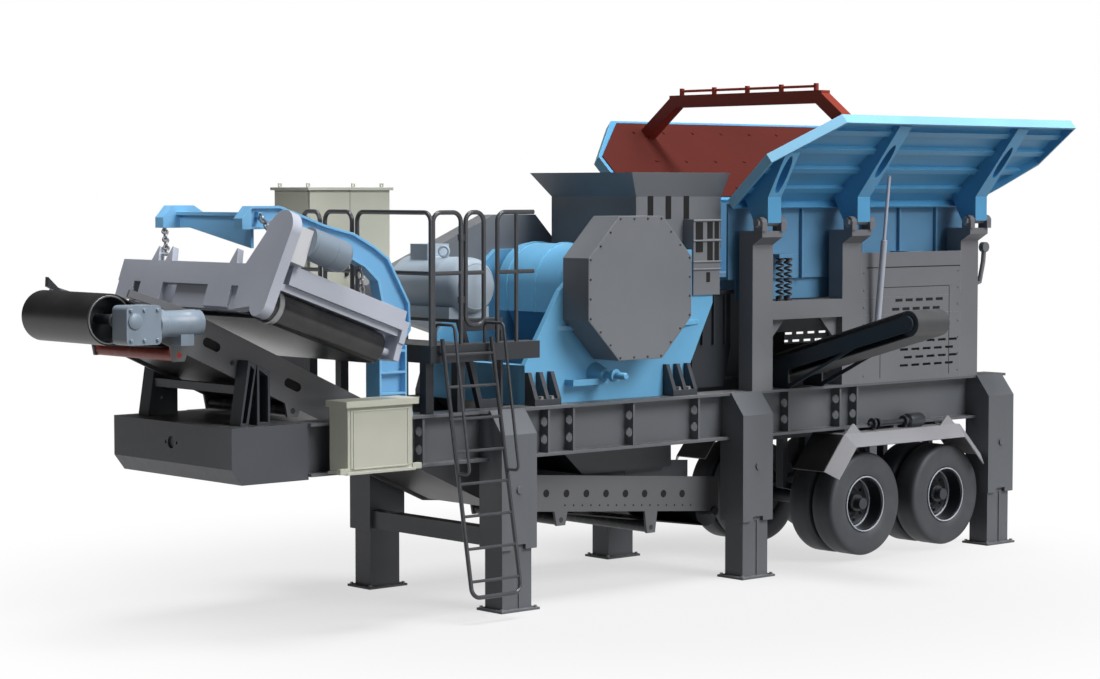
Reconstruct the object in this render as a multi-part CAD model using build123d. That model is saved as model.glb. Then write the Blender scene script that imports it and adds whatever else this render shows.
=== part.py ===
from build123d import *
import os
from math import atan2, cos, degrees, hypot, radians, sin, tan

os.makedirs("parts", exist_ok=True)

# All sizes are in millimetres. X runs from the discharge end to the feed end, -Y is the ladder side.
overrun = 20
quarter_turn = 90
half_share = 0.5

# Chassis
chassis_top = 1865
chassis_depth = 470
beam_half = 965
flange_width = 300
flange_thick = 28
web_thick = 30
web_inset = 137
beam_front = -2060
beam_rear = 7480
rib_stations = (-800, 712, 1029, 1812, 2699, 3996, 4775, 5040)
rib_thick = 24
rib_set = 20
rib_hole_r = 46
rib_hole_shares = (0.3, 0.7)
cross_stations = (520, 2860, 4250, 5690, 7250)
cross_width = 160
cross_depth = 300
cross_wall = 30

# Front box
nose_front = -2868
nose_vertical = 357
nose_toe = 105
nose_depth = 495
nose_half = 926
nose_wall = 40
nose_eye_r = 55
nose_eye_depth = 18
nose_dot_r = 14
nose_dot_gap = 85

# Support legs
front_leg_x = 178
middle_leg_x = 3343
rear_leg_x = 7178
ram_length = 356
ram_width = 246
ram_top = 1450
ram_groove_width = 46
ram_groove_depth = 10
foot_over = 56
foot_thick = 22
foot_hole_r = 14
foot_hole_inset = 26
casing_length = 427
casing_width = 322
casing_bottom = 577
casing_clear = 3
casing_notch_width = 150
casing_notch_depth = 46
hood_outer_z = 1645
hood_flat = 150
pin_r = 24
pin_z = 1130
pin_head_r = 36
pin_head_length = 16
leg_beam_z = 600
leg_beam_depth = 170
leg_beam_width = 130

# Wheels
wheel_z = 600
wheel_stations = (5080, 6380)
tyre_r = 542
tyre_width = 290
tyre_gap = 40
tyre_outer = 1050
tyre_bore_r = 330
tyre_shoulder = 70
tread_depth = 16
tread_width = 18
tread_shares = (0.3, 0.5, 0.7)
rim_wall = 14
disc_thick = 22
hub_r = 120
hub_length = 150
spindle_r = 60
spindle_clear = 0.05
stud_pcd_r = 165
stud_r = 14
stud_length = 30
stud_count = 10
rim_hole_r = 34
rim_hole_pcd_r = 250
rim_hole_count = 8
axle_r = 80
axle_half = 400
spring_y = 330
spring_width = 100
spring_half = 560
spring_thick = 70
spring_rise = 110
subframe_depth = 120
subframe_front = 4280
subframe_rear = 7160
hanger_width = 70
fender_front = 4100
fender_flat_front = 4765
fender_flat_rear = 6622
fender_rear = 6920
fender_drop_front = 410
fender_drop_rear = 130
fender_top = 1385
fender_thick = 14
fender_outer = 1100
fender_inner = 420
fender_lip = 150
fender_lug_stations = (4770, 6410)
fender_lug_length = 210
fender_lug_height = 95
fender_lug_thick = 16

# Jaw crusher
shaft_x = 1755
shaft_z = 2955
cheek_outer = 750
cheek_thick = 60
cheek_rear = 590
cheek_front = 2620
cheek_shoulder_z = 2240
cheek_nose_x = 1035
cheek_nose_z = 2940
cheek_top = 3300
cheek_front_top_x = 3090
cheek_front_top_z = 2763
cheek_rib_thick = 50
cheek_rib_depth = 80
cheek_rib_z = 2560
wall_thick = 130
shaft_r = 110
shaft_half = 900
jaw_half = 620
barrel_x = 830
barrel_z = 2905
barrel_r = 430
barrel_band_r = 455
barrel_band_width = 60
barrel_band_shares = (-0.8, 0.0, 0.8)
jaw_hub_r = 290
jaw_toe_x = 2060
jaw_toe_z = 1990
jaw_toe_r = 130
screw_r = 34
screw_x = 1490
screw_z = 2120
screw_reach = 440
screw_cup_r = 115
screw_cup_tip_r = 60
screw_cup_length = 150
screw_ledge_length = 450
screw_ledge_depth = 120
screw_ledge_thick = 60
foot_block_length = 330
foot_block_depth = 150
foot_block_height = 60
foot_block_stations = (590, 2400)
fin_count = 3
fin_thick = 45
fin_height = 250
guard_half_x = 680
guard_half_z = 689
guard_chamfer = 395
guard_outer = 1110
guard_rim = 26
guard_recess = 12
pulley_guard_rear = -130
pulley_guard_low_z = 2770
pulley_guard_top_z = 2975
belt_guard_outer = 962
chute_rear = 2150
chute_front = 3330
chute_half = 625
chute_wall = 25
chute_bottom = 3300
chute_bend = 3826
chute_top = 4065
chute_flare = 180
chute_side_flare = 130
chute_slot_stations = (2310, 2556, 2806)
chute_slot_width = 55
chute_slot_depth = 170
motor_x = 50
motor_z = 3000
motor_r = 265
motor_near = 690
motor_far = 360
motor_end_r = 215
motor_end_length = 110
motor_shaft_r = 55
motor_box_length = 260
motor_box_height = 120
motor_foot_height = 70
motor_foot_width = 480
base_wall = 30
base_front = 330
base_clear = 10
base_leg = 60
window_share = 0.3
spout_clear = 10
spout_wall = 20
spout_front = 620
spout_rear = 2600
spout_low_front = 1500
spout_low_rear = 2700
spout_low_half = 560
spout_low_z = 1130

# Feeder and hopper
post_stations = (3445, 4785, 6690)
post_length = 295
post_width = 190
post_top = 3480
head_over = 130
head_drop = 140
knuckle_r = 62
knuckle_z = 3560
knuckle_y = 1060
knuckle_length = 70
knuckle_gap = 205
rail_bottom = 2576
rail_depth = 187
gusset_side = 260
gusset_thick = 30
panel_thick = 20
panel_top = 3235
louvre_rows = (2010, 2095, 2180, 2265, 2640, 2725)
louvre_length = 130
louvre_pitch = 185
louvre_height = 26
louvre_count = 5
louvre_shift = 65
feeder_rear = 7180
feeder_front = 3370
feeder_half = 690
feeder_floor = 3010
feeder_wall = 25
feeder_top = 3755
feeder_flange = 30
feeder_rib_stations = (3820, 4420, 5350, 5950, 6550)
feeder_rib_depth = 40
feeder_rib_thick = 24
slot_bar_count = 8
slot_bar_width = 60
slot_bar_length = 1300
shoe_stations = (3870, 5850)
shoe_length = 260
shoe_z = 3200
shoe_thick = 40
shoe_out = 930
spring_r = 46
spring_neck_r = 36
spring_gap = 118
spring_coils = 6
wing_low_y = 702
wing_low_z = 3787
wing_slope = 41
wing_front_low = 3350
wing_front_mid = 3360
wing_front_high = 3960
wing_rear_low = 7000
wing_rear_step = 7309
wing_rear_mid = 7591
wing_rear_high = 7650
wing_mid_s = 700
wing_high_s = 1305
wing_step_s = 345
wing_thick = 20
rim_depth = 110
rim_thick = 20
channel_shares = (0.17, 0.4, 0.63, 0.84)
channel_depth = 62
channel_width = 75
wing_rib_width = 190
wing_rib_foot = 190
wing_rib_straight = 260
wing_rib_reach_s = 1240
wing_rib_low_s = 90
wing_hole_length = 430
wing_hole_width = 110
wing_hole_depth = 110
liner_thick = 12
liner_inset = 45
arch_x = 4350
arch_side = 130
arch_half = 1045
arch_rise = 202
arch_foot_y = 1514
spray_r = 14
spray_half = 980
spray_lift = 45
nozzle_r = 26
nozzle_count = 5
nozzle_height = 30
cylinder_x = 5250
cylinder_y = 1035
cylinder_low_z = 2440
cylinder_top_y = 1190
cylinder_top_z = 4040
cylinder_r = 34
cylinder_rod_r = 18
cylinder_share = 0.58
cylinder_lug = 90

# Main conveyor
head_x = -3815
head_z = 2811
bend_x = 456
bend_z = 857
tail_x = 3230
tail_z = 640
head_r = 205
tail_r = 150
belt_half = 530
belt_thick = 14
return_rise = 35
snub_run = 680
plate_inner = 610
plate_thick = 28
plate_depth = 350
plate_head_gap = 520
plate_tail_gap = 60
plate_hole_length = 190
plate_hole_width = 80
plate_hole_runs = (962, 1899)
plate_dot_r = 28
plate_dot_stations = (960, 1220, 1480, 1740, 2000, 2260, 2520, 2780)
drum_shaft_r = 45
drum_shaft_half = 660
drum_shell = 16
drum_recess = 190
roller_r = 55
roller_gap = 6
roller_runs = (0, 1300, 2600)
hanger_reach = 90
hanger_lap = 30
roller_tail_stations = (1150, 2350)
head_arm_run = 20
head_arm_up = 285
head_arm_depth = 65
head_ear_r = 62
gearbox_set = 60
gearbox_lead = 35
gearbox_drop = 36
gearbox_length = 340
gearbox_width = 220
gearbox_height = 330
gearbox_round = 45
gear_motor_r = 108
gear_motor_length = 440
gear_bell_length = 70
gear_bell_lip = 14
terminal_side = 130
terminal_height = 80
post_frame_stations = (-2600, -2510)
post_frame_lengths = (85, 135)
post_frame_leans = (90, 0)
post_frame_outer = 800
post_frame_wall = 22
post_hole_r = 13
post_hole_shares = (0.3, 0.5, 0.7)
frame_tie_z = 2130
frame_tie_depth = 75

# Overband magnet and its jib
magnet_x = -2235
magnet_z = 2760
magnet_y = -260
magnet_tilt = 19.3
magnet_front_u = -660
magnet_rear_u = 940
magnet_half = 1070
end_plate_thick = 60
end_plate_low = 95
end_plate_high = 295
shield_near = 820
shield_far = 165
shield_low = 110
drum_y = 930
drum_r = 125
drum_shaft = 34
magnet_belt_thick = 14
magnet_belt_front_u = -560
magnet_belt_rear_u = 740
core_half = 700
core_low = -95
core_high = 95
cover_width = 200
cover_low = 210
cover_high = 380
cover_front_u = -410
cover_set = 45
side_member_low = 150
chain_guard_thick = 100
chain_guard_r = 165
chain_guard_y = -1175
chain_guard_w = 610
guard_foot_r = 110
guard_foot_y = -1150
guard_foot_w = -50
guard_edge_y = -820
lug_width = 110
lug_height = 130
lug_thick = 60
lug_pin_r = 14
lug_places = (567, 354, -634)
bracket_near = 1160
bracket_far = 900
bracket_high = 700
magnet_motor_r = 140
magnet_motor_start_u = -370
magnet_motor_length = 430
magnet_motor_y = -1100
magnet_motor_w = 600
magnet_motor_dome = 55
jib_outer = 800
jib_thick = 130
jib_flange = 22
jib_recess = 45
jib_tip_x = -2655
jib_top_z = 3756
jib_low_z = 3556
jib_top_line = ((-2255, 3756), (-2046, 3685), (-1765, 3587), (-1457, 3514), (-1223, 3394), (-1065, 3285),
                (-826, 2875))
jib_low_line = ((-1147, 2893), (-1191, 3081), (-1337, 3209), (-1513, 3293), (-1994, 3519), (-2255, 3556))
jib_tip_rise = 94
jib_tip_run = 95
column_neck = 130
column_waist_z = 2600
column_rear = -1230
column_front = -920
column_head_x = -816
column_head_z = 2630
column_foot_over = 70
column_foot_thick = 30
column_rib_thick = 20
column_rib_stations = (2060, 2250, 2440)
crosshead_x = -2460
crosshead_thick = 30
crosshead_far = 550
crosshead_top = 3700
crosshead_tip_low = 3560
crosshead_root_low = 3390
crosshead_flange = 120
prong_length = 420
chain_fewest = 2
chain_bar = 16
chain_link_width = 64
chain_link_pitch = 62
chain_near_x = -2470
chain_near_y = -790
chain_near_z = 3660
chain_far_x = -2600
chain_far_y = 485
chain_rear_x = -1354
chain_rear_y = -735
chain_rear_z = 3217
chain_lug_side = 44

# Platform, railing and ladder
deck_z = 2490
deck_thick = 30
deck_depth = 160
deck_rear = -750
deck_front = 560
deck_near = 1000
deck_far = 1570
deck_far_front = 400
deck_gap = 8
deck_skirt = 16
deck_leg_side = 90
deck_leg_y = 880
deck_leg_stations = (-700, -330)
deck_far_leg_x = 280
deck_strut_z = 1960
deck_strut_thick = 30
rail_height = 1200
rail_mid = 650
rail_r = 21
rail_bend = 90
rail_step = 2
rail_inset = 24
rail_panels = ((-976, 110), (190, 610), (690, 960))
rail_corner_x = -700
rail_right = (60, 290)
rail_end_x = 500
gate_left = -375
gate_right = -90
gate_gap = 14
gate_low = 170
gate_sleeve = 9
gate_clear = 0.05
gate_sleeve_length = 60
gate_sleeve_shares = (0.2, 0.75)
ladder_left = -640
ladder_right = -60
ladder_top_y = 1030
ladder_foot_y = 1450
ladder_foot_z = 240
ladder_r = 20
rung_r = 14
rung_count = 8
hand_out = 170
hand_low_share = 0.52
hand_rise = 190

# Cabinets
cabinet_left = -640
cabinet_width = 972
cabinet_front_y = 1000
cabinet_depth = 540
cabinet_height = 1400
cabinet_wall = 20
roof_over = 30
roof_thick = 28
door_thick = 22
door_gap = 6
door_seat = 6
hinge_r = 11
hinge_pin_r = 7
hinge_pin_clear = 0.05
hinge_length = 90
hinge_shares = (0.14, 0.78)
hinge_out = 14
hinge_front = 17
hinge_ear = 20
hinge_lift = 6
eye_side = 40
eye_thick = 12
eye_hole_r = 11
box_left = -1860
box_width = 716
box_depth = 262
box_bottom = 1441
box_height = 566
box_lid_over = 42
box_lid_thick = 55
box_tray = 22
box_door_inset = 30
box_door_proud = 8

# Side conveyor
side_x = 4255
side_width = 470
side_head_y = 2520
side_head_z = 2585
side_tail_y = 420
side_tail_z = 1985
side_drum_r = 118
side_belt_thick = 12
side_plate_thick = 22
side_plate_depth = 150
side_shaft_r = 22
strut_side = 46
strut_share = 0.8

chassis_bottom = chassis_top - chassis_depth
web_outer = beam_half - web_inset
web_inner = web_outer - web_thick
casing_outer = web_outer + casing_width
ram_y = web_outer + casing_width * half_share
leg_stations = (front_leg_x, middle_leg_x, rear_leg_x)
post_inner = beam_half - post_width
rail_top = rail_bottom + rail_depth
hopper_rear = wing_rear_high
arch_z = wing_low_z + wing_high_s * sin(radians(wing_slope)) + arch_rise
base_half = cheek_outer - base_clear
arch_foot_z = wing_low_z + (arch_foot_y - wing_low_y) * tan(radians(wing_slope))
machine_front = head_x - head_r - belt_thick
machine_near = -(side_head_y + side_drum_r + side_belt_thick)
machine_far = wing_low_y + wing_high_s * cos(radians(wing_slope)) + rim_depth * sin(radians(wing_slope))
mid_x = (machine_front + hopper_rear) * half_share
mid_y = (machine_near + machine_far) * half_share


def block(x0, x1, y0, y1, z0, z1):
    """Straight block between three pairs of faces."""
    corner = (Align.MIN, Align.MIN, Align.MIN)
    return Pos(x0, y0, z0) * Box(x1 - x0, y1 - y0, z1 - z0, align=corner)


def rod_along_x(x0, x1, y, z, r):
    """Round bar lying along X."""
    bar = Cylinder(r, x1 - x0, align=(Align.CENTER, Align.CENTER, Align.MIN))
    return Pos(x0, y, z) * Rot(0, quarter_turn, 0) * bar


def rod_along_y(x, y0, y1, z, r):
    """Round bar lying along Y."""
    bar = Cylinder(r, y1 - y0, align=(Align.CENTER, Align.CENTER, Align.MIN))
    return Pos(x, y0, z) * Rot(-quarter_turn, 0, 0) * bar


def rod_along_z(x, y, z0, z1, r):
    """Round upright bar."""
    bar = Cylinder(r, z1 - z0, align=(Align.CENTER, Align.CENTER, Align.MIN))
    return Pos(x, y, z0) * bar


def side_face(points):
    """Face drawn in the side view from (x, z) points."""
    return Plane.XZ * make_face(Polyline(*points, close=True))


def side_plate(points, y0, y1):
    """Side-view outline made into a plate from y0 to y1."""
    return Pos(0, y1, 0) * extrude(side_face(points), amount=y1 - y0)


def end_plate(points, x0, x1):
    """Outline of (y, z) points made into a plate from x0 to x1."""
    face = Plane.YZ * make_face(Polyline(*points, close=True))
    return Pos(x0, 0, 0) * extrude(face, amount=x1 - x0)


def bar_between(a, b, r):
    """Round bar from point a to point b."""
    path = Line(a, b)
    return sweep(Plane(origin=a, z_dir=path % 0) * Circle(r), path=path)


def tube_path(points, bend, r):
    """Round bar bent along a run of points."""
    path = FilletPolyline(*points, radius=bend)
    return sweep(Plane(origin=path @ 0, z_dir=path % 0) * Circle(r), path=path)


def both(part):
    """The part and its mirror image across the centre plane."""
    return part + mirror(part, about=Plane.XZ)


def gather(parts):
    """One node holding all the given solids."""
    whole = parts[0]
    for item in parts[1:]:
        whole = whole + item
    return whole


def save(name, shape):
    """Move the shape to the frame's origin and write its file."""
    export_step(Pos(-mid_x, -mid_y, 0) * shape, "parts/" + name + ".step")


def casing_space(station):
    """Room a leg casing takes out of the far beam."""
    x0 = station - casing_length * half_share
    return block(x0, x0 + casing_length, web_outer, casing_outer, casing_bottom, chassis_top)


def chassis_beam():
    """Far welded I-beam with drilled stiffeners, cut where the legs stand."""
    low = chassis_bottom + flange_thick
    high = chassis_top - flange_thick
    beam = block(beam_front, beam_rear, web_inner, web_outer, chassis_bottom, chassis_top)
    inner = beam_half - flange_width
    beam += block(beam_front, beam_rear, inner, beam_half, high, chassis_top)
    beam += block(beam_front, beam_rear, inner, beam_half, chassis_bottom, low)
    for x in rib_stations:
        rib = block(x, x + rib_thick, web_outer, beam_half - rib_set, low, high)
        y = (web_outer + beam_half - rib_set) * half_share
        for share in rib_hole_shares:
            z = low + (high - low) * share
            rib -= rod_along_x(x - overrun, x + rib_thick + overrun, y, z, rib_hole_r)
        beam += rib
    for station in leg_stations:
        beam -= casing_space(station)
    return beam


def cross_member(station):
    """Channel-shaped tie between the two beams."""
    x0 = station - cross_width * half_share
    x1 = x0 + cross_width
    z1 = chassis_bottom + cross_depth
    tie = block(x0, x1, -web_inner, web_inner, chassis_bottom + flange_thick, z1)
    tie -= block(x0 + cross_wall, x1 + overrun, -web_inner, web_inner,
                 chassis_bottom + flange_thick + cross_wall, z1 - cross_wall)
    trim = beam_half - flange_width
    foot = block(x0, x1, -trim, trim, chassis_bottom, chassis_bottom + flange_thick)
    return tie + foot


def leg_tie(station):
    """Low box tie between a pair of leg casings."""
    x0 = station - ram_length * half_share
    return block(x0, x0 + leg_beam_width, -web_outer, web_outer,
                 leg_beam_z, leg_beam_z + leg_beam_depth)


def front_box():
    """Box at the discharge end with a chamfered toe and a recessed eye plate."""
    bottom = chassis_top - nose_depth
    outline = [(nose_front, chassis_top), (nose_front, chassis_top - nose_vertical),
               (nose_front + nose_toe, bottom), (beam_front, bottom), (beam_front, chassis_top)]
    box = side_plate(outline, -nose_half, nose_half)
    hollow = block(nose_front + nose_wall + nose_toe, beam_front + overrun,
                   nose_wall - nose_half, nose_half - nose_wall,
                   bottom + nose_wall, chassis_top - nose_wall)
    box -= hollow
    z = chassis_top - nose_vertical * half_share
    face = nose_front - overrun
    box -= rod_along_x(face, nose_front + nose_eye_depth, 0, z, nose_eye_r)
    for y in (-nose_dot_gap, nose_dot_gap):
        box -= rod_along_x(face, nose_front + nose_eye_depth, y, z, nose_dot_r)
    return box


def leg_casing(station):
    """Far leg casing with its sloped hood and notched lower edge."""
    x0 = station - casing_length * half_share
    x1 = x0 + casing_length
    outline = [(web_outer, casing_bottom), (casing_outer, casing_bottom), (casing_outer, hood_outer_z),
               (web_outer + hood_flat, chassis_top), (web_outer, chassis_top)]
    case = end_plate(outline, x0, x1)
    half_x = ram_length * half_share + casing_clear
    half_y = ram_width * half_share + casing_clear
    case -= block(station - half_x, station + half_x, ram_y - half_y, ram_y + half_y,
                  casing_bottom - overrun, ram_top + casing_clear)
    notch = casing_notch_width * half_share
    case -= block(station - notch, station + notch, web_outer - overrun, casing_outer + overrun,
                  casing_bottom - overrun, casing_bottom + casing_notch_depth)
    case -= rod_along_y(station, web_outer - overrun, casing_outer + overrun, pin_z, pin_r)
    return case


def leg_ram(station):
    """Far inner leg on its foot plate, locked by a headed pin through the casing."""
    x0 = station - ram_length * half_share
    x1 = x0 + ram_length
    y0 = ram_y - ram_width * half_share
    y1 = y0 + ram_width
    ram = block(x0, x1, y0, y1, foot_thick, ram_top)
    groove = ram_groove_width * half_share
    ram -= block(station - groove, station + groove, y1 - ram_groove_depth, y1 + overrun,
                 foot_thick, casing_bottom)
    foot = block(x0 - foot_over, x1 + foot_over, y0 - foot_over, y1 + foot_over, 0, foot_thick)
    for x in (x0 - foot_hole_inset, x1 + foot_hole_inset):
        for y in (y0 - foot_hole_inset, y1 + foot_hole_inset):
            foot -= rod_along_z(x, y, -overrun, foot_thick + overrun, foot_hole_r)
    pin = rod_along_y(station, web_outer, casing_outer, pin_z, pin_r)
    head = rod_along_y(station, casing_outer, casing_outer + pin_head_length, pin_z, pin_head_r)
    return ram + foot + pin + head


def tyre(inner):
    """One tyre with rounded shoulders and tread grooves, its inner side at y = inner."""
    outer = inner + tyre_width
    side = tyre_r - tyre_shoulder
    ring = [(tyre_bore_r, inner), (side, inner), (tyre_r, inner + tyre_shoulder),
            (tyre_r, outer - tyre_shoulder), (side, outer), (tyre_bore_r, outer)]
    face = make_face(Polyline(*ring, close=True))
    body = revolve(face, axis=Axis.Y)
    for share in tread_shares:
        y = inner + tyre_width * share
        half = tread_width * half_share
        groove = Cylinder(tyre_r + overrun, tread_width) - Cylinder(tyre_r - tread_depth, tread_width + half)
        body -= Pos(0, y, 0) * Rot(quarter_turn, 0, 0) * groove
    return body


def rim():
    """Twin wheel centre with dished disc, drilled openings, hub and studs."""
    inner = tyre_outer - tyre_width - tyre_gap - tyre_width
    outer = tyre_outer
    bore = tyre_bore_r
    bed = bore - rim_wall
    disc_y = outer - hub_length - tyre_gap
    ring = [(bed, inner), (bore, inner), (bore, outer), (bed, outer)]
    body = revolve(make_face(Polyline(*ring, close=True)), axis=Axis.Y)
    plate = [(spindle_r + spindle_clear, disc_y), (bore, disc_y), (bore, disc_y + disc_thick),
             (hub_r, disc_y + disc_thick), (hub_r, disc_y + hub_length),
             (spindle_r + spindle_clear, disc_y + hub_length)]
    body += revolve(make_face(Polyline(*plate, close=True)), axis=Axis.Y)
    for spot in PolarLocations(rim_hole_pcd_r, rim_hole_count):
        x = spot.position.X
        z = spot.position.Y
        body -= rod_along_y(x, disc_y - overrun, disc_y + disc_thick + overrun, z, rim_hole_r)
    for spot in PolarLocations(stud_pcd_r, stud_count):
        x = spot.position.X
        z = spot.position.Y
        body += rod_along_y(x, disc_y, disc_y + disc_thick + stud_length, z, stud_r)
    return body


def wheel_tyres():
    """Pair of tyres on one wheel end, about the wheel's own axis."""
    outer = tyre_outer - tyre_width
    inner = outer - tyre_gap - tyre_width
    return gather([tyre(outer), tyre(inner)])


def axle(station):
    """Axle tube with a spindle at each end."""
    bar = rod_along_y(station, -axle_half, axle_half, wheel_z, axle_r)
    reach = tyre_outer - tyre_gap
    return bar + rod_along_y(station, -reach, reach, wheel_z, spindle_r)


def spring_pack(station):
    """Far arched leaf pack on one axle with its two hangers."""
    y0 = spring_y - spring_width * half_share
    y1 = y0 + spring_width
    low = wheel_z + axle_r - spring_thick * half_share
    high = low + spring_thick
    end = station + spring_half
    start = station - spring_half
    leaf = [(start, low + spring_rise), (station, low), (end, low + spring_rise),
            (end, high + spring_rise), (station, high), (start, high + spring_rise)]
    pack = side_plate(leaf, y0, y1)
    top = chassis_bottom - subframe_depth
    for x in (start, end - hanger_width):
        pack += block(x, x + hanger_width, y0, y1, low + spring_rise, top)
    return pack


def running_gear():
    """Both axles with leaf packs hung from a pair of sub-frame rails."""
    gear = both(block(subframe_front, subframe_rear, spring_y - spring_width * half_share,
                      spring_y + spring_width * half_share,
                      chassis_bottom - subframe_depth, chassis_bottom))
    for station in wheel_stations:
        gear += both(spring_pack(station))
        gear += axle(station)
    return gear


def fender():
    """Far mudguard with sloped ends, an outer lip and two lugs."""
    z = fender_top
    line = [(fender_front, z - fender_drop_front), (fender_flat_front, z),
            (fender_flat_rear, z), (fender_rear, z - fender_drop_rear)]
    under = [(x, h - fender_thick) for x, h in reversed(line)]
    sheet = side_plate(line + under, fender_inner, fender_outer)
    lip = [(x, h - fender_lip) for x, h in reversed(line)]
    sheet += side_plate(line + lip, fender_outer - fender_thick, fender_outer)
    for x in fender_lug_stations:
        tip = x + fender_lug_length * half_share
        lug = [(x, z), (x + fender_lug_length, z), (tip, z + fender_lug_height)]
        sheet += side_plate(lug, fender_outer - fender_lug_thick, fender_outer)
    reach = block(fender_flat_front, fender_flat_rear, fender_inner, beam_half, z, chassis_bottom)
    return sheet + reach


def cheek():
    """Far crusher side plate, bored for the shaft."""
    outline = [(cheek_rear, chassis_top), (cheek_front, chassis_top),
               (cheek_front_top_x, cheek_front_top_z), (cheek_front_top_x, cheek_top),
               (cheek_nose_x + barrel_r, cheek_top), (cheek_nose_x, cheek_nose_z),
               (cheek_rear, cheek_shoulder_z)]
    inner = cheek_outer - cheek_thick
    plate = side_plate(outline, inner, cheek_outer)
    return plate - rod_along_y(shaft_x, inner - overrun, cheek_outer + overrun, shaft_z, shaft_r)


def cheek_ribs():
    """Near level ribs on the crusher cheek, either side of the flywheel guard."""
    z1 = cheek_rib_z + cheek_rib_thick
    lean = (cheek_front_top_x - cheek_front) / (cheek_front_top_z - chassis_top)
    reach = cheek_front + lean * (cheek_rib_z - chassis_top)
    rake = (cheek_nose_x - cheek_rear) / (cheek_nose_z - cheek_shoulder_z)
    back = cheek_rear + rake * (z1 - cheek_shoulder_z)
    y0 = -cheek_outer - cheek_rib_depth
    ribs = block(back, shaft_x - guard_half_x, y0, -cheek_outer, cheek_rib_z, z1)
    return ribs + block(shaft_x + guard_half_x, reach, y0, -cheek_outer, cheek_rib_z, z1)


def wedge_screw():
    """Near adjusting screw with its tapered cup and the ledge under it."""
    screw = rod_along_y(screw_x, -cheek_outer - screw_reach, -cheek_outer, screw_z, screw_r)
    cup = Cone(screw_cup_r, screw_cup_tip_r, screw_cup_length, align=(Align.CENTER, Align.CENTER, Align.MIN))
    screw += Pos(screw_x, -cheek_outer, screw_z) * Rot(quarter_turn, 0, 0) * cup
    x0 = screw_x - screw_ledge_length + screw_cup_tip_r
    top = screw_z - screw_r
    return screw + block(x0, x0 + screw_ledge_length, -cheek_outer - screw_ledge_depth, -cheek_outer,
                         top - screw_ledge_thick, top)


def crusher_frame():
    """Cheeks joined by the front and rear walls, with the adjusting screw."""
    inner = cheek_outer - cheek_thick
    frame = both(cheek())
    front = [(cheek_front - wall_thick, chassis_top), (cheek_front, chassis_top),
             (cheek_front_top_x, cheek_front_top_z), (cheek_front_top_x, cheek_top),
             (cheek_front_top_x - wall_thick, cheek_top),
             (cheek_front_top_x - wall_thick, cheek_front_top_z)]
    frame += side_plate(front, -inner, inner)
    rear = [(cheek_rear, chassis_top), (cheek_rear + wall_thick, chassis_top),
            (cheek_rear + wall_thick, cheek_shoulder_z), (cheek_rear, cheek_shoulder_z)]
    frame += side_plate(rear, -inner, inner)
    frame += rod_along_y(barrel_x, -inner, inner, barrel_z, barrel_r)
    for share in barrel_band_shares:
        y = inner * share
        half = barrel_band_width * half_share
        frame += rod_along_y(barrel_x, y - half, y + half, barrel_z, barrel_band_r)
    return frame + cheek_ribs() + wedge_screw()


def swing_jaw():
    """Swing jaw: hub on the eccentric shaft, running down to the toggle end."""
    dx = jaw_toe_x - shaft_x
    dz = jaw_toe_z - shaft_z
    run = hypot(dx, dz)
    nx = -dz / run
    nz = dx / run
    body = [(shaft_x + nx * jaw_hub_r, shaft_z + nz * jaw_hub_r),
            (jaw_toe_x + nx * jaw_toe_r, jaw_toe_z + nz * jaw_toe_r),
            (jaw_toe_x - nx * jaw_toe_r, jaw_toe_z - nz * jaw_toe_r),
            (shaft_x - nx * jaw_hub_r, shaft_z - nz * jaw_hub_r)]
    jaw = side_plate(body, -jaw_half, jaw_half)
    jaw += rod_along_y(shaft_x, -jaw_half, jaw_half, shaft_z, jaw_hub_r)
    jaw += rod_along_y(jaw_toe_x, -jaw_half, jaw_half, jaw_toe_z, jaw_toe_r)
    return jaw + rod_along_y(shaft_x, -shaft_half, shaft_half, shaft_z, shaft_r)


def foot_brackets(station):
    """Far crusher hold-down: base block with three sloping fins."""
    y1 = cheek_outer + foot_block_depth
    foot = block(station, station + foot_block_length, cheek_outer, y1,
                 chassis_top, chassis_top + foot_block_height)
    z = chassis_top + foot_block_height
    pitch = (foot_block_length - fin_thick) / (fin_count - 1)
    for i in range(fin_count):
        x = station + pitch * i
        outline = [(cheek_outer, z), (y1, z), (cheek_outer + fin_thick, z + fin_height),
                   (cheek_outer, z + fin_height)]
        foot += end_plate(outline, x, x + fin_thick)
    return foot


def octagon(margin):
    """Side-view outline of the flywheel guard, drawn in by margin."""
    wide = guard_half_x - margin
    tall = guard_half_z - margin
    cut = guard_chamfer - margin * tan(radians(quarter_turn * half_share * half_share))
    return [(shaft_x - wide + cut, shaft_z + tall), (shaft_x + wide - cut, shaft_z + tall),
            (shaft_x + wide, shaft_z + tall - cut), (shaft_x + wide, shaft_z - tall + cut),
            (shaft_x + wide - cut, shaft_z - tall), (shaft_x - wide + cut, shaft_z - tall),
            (shaft_x - wide, shaft_z - tall + cut), (shaft_x - wide, shaft_z + tall - cut)]


def flywheel_guard():
    """Near eight-sided flywheel cover with a raised rim on its face."""
    guard = side_plate(octagon(0), -guard_outer, -cheek_outer)
    guard -= side_plate(octagon(guard_rim), -guard_outer - overrun, guard_recess - guard_outer)
    return guard - rod_along_y(shaft_x, -shaft_half, -cheek_outer + overrun, shaft_z, shaft_r)


def belt_guard():
    """Far drive cover from the motor pulley to the flywheel."""
    corners = octagon(0)
    outline = [(pulley_guard_rear, pulley_guard_low_z), (pulley_guard_rear, pulley_guard_top_z)] + corners[:6]
    guard = side_plate(outline, cheek_outer, belt_guard_outer)
    guard -= rod_along_y(shaft_x, cheek_outer - overrun, shaft_half, shaft_z, shaft_r)
    reach = cheek_outer + motor_end_length
    return guard - rod_along_y(motor_x, cheek_outer - overrun, reach, motor_z, motor_shaft_r)


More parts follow.
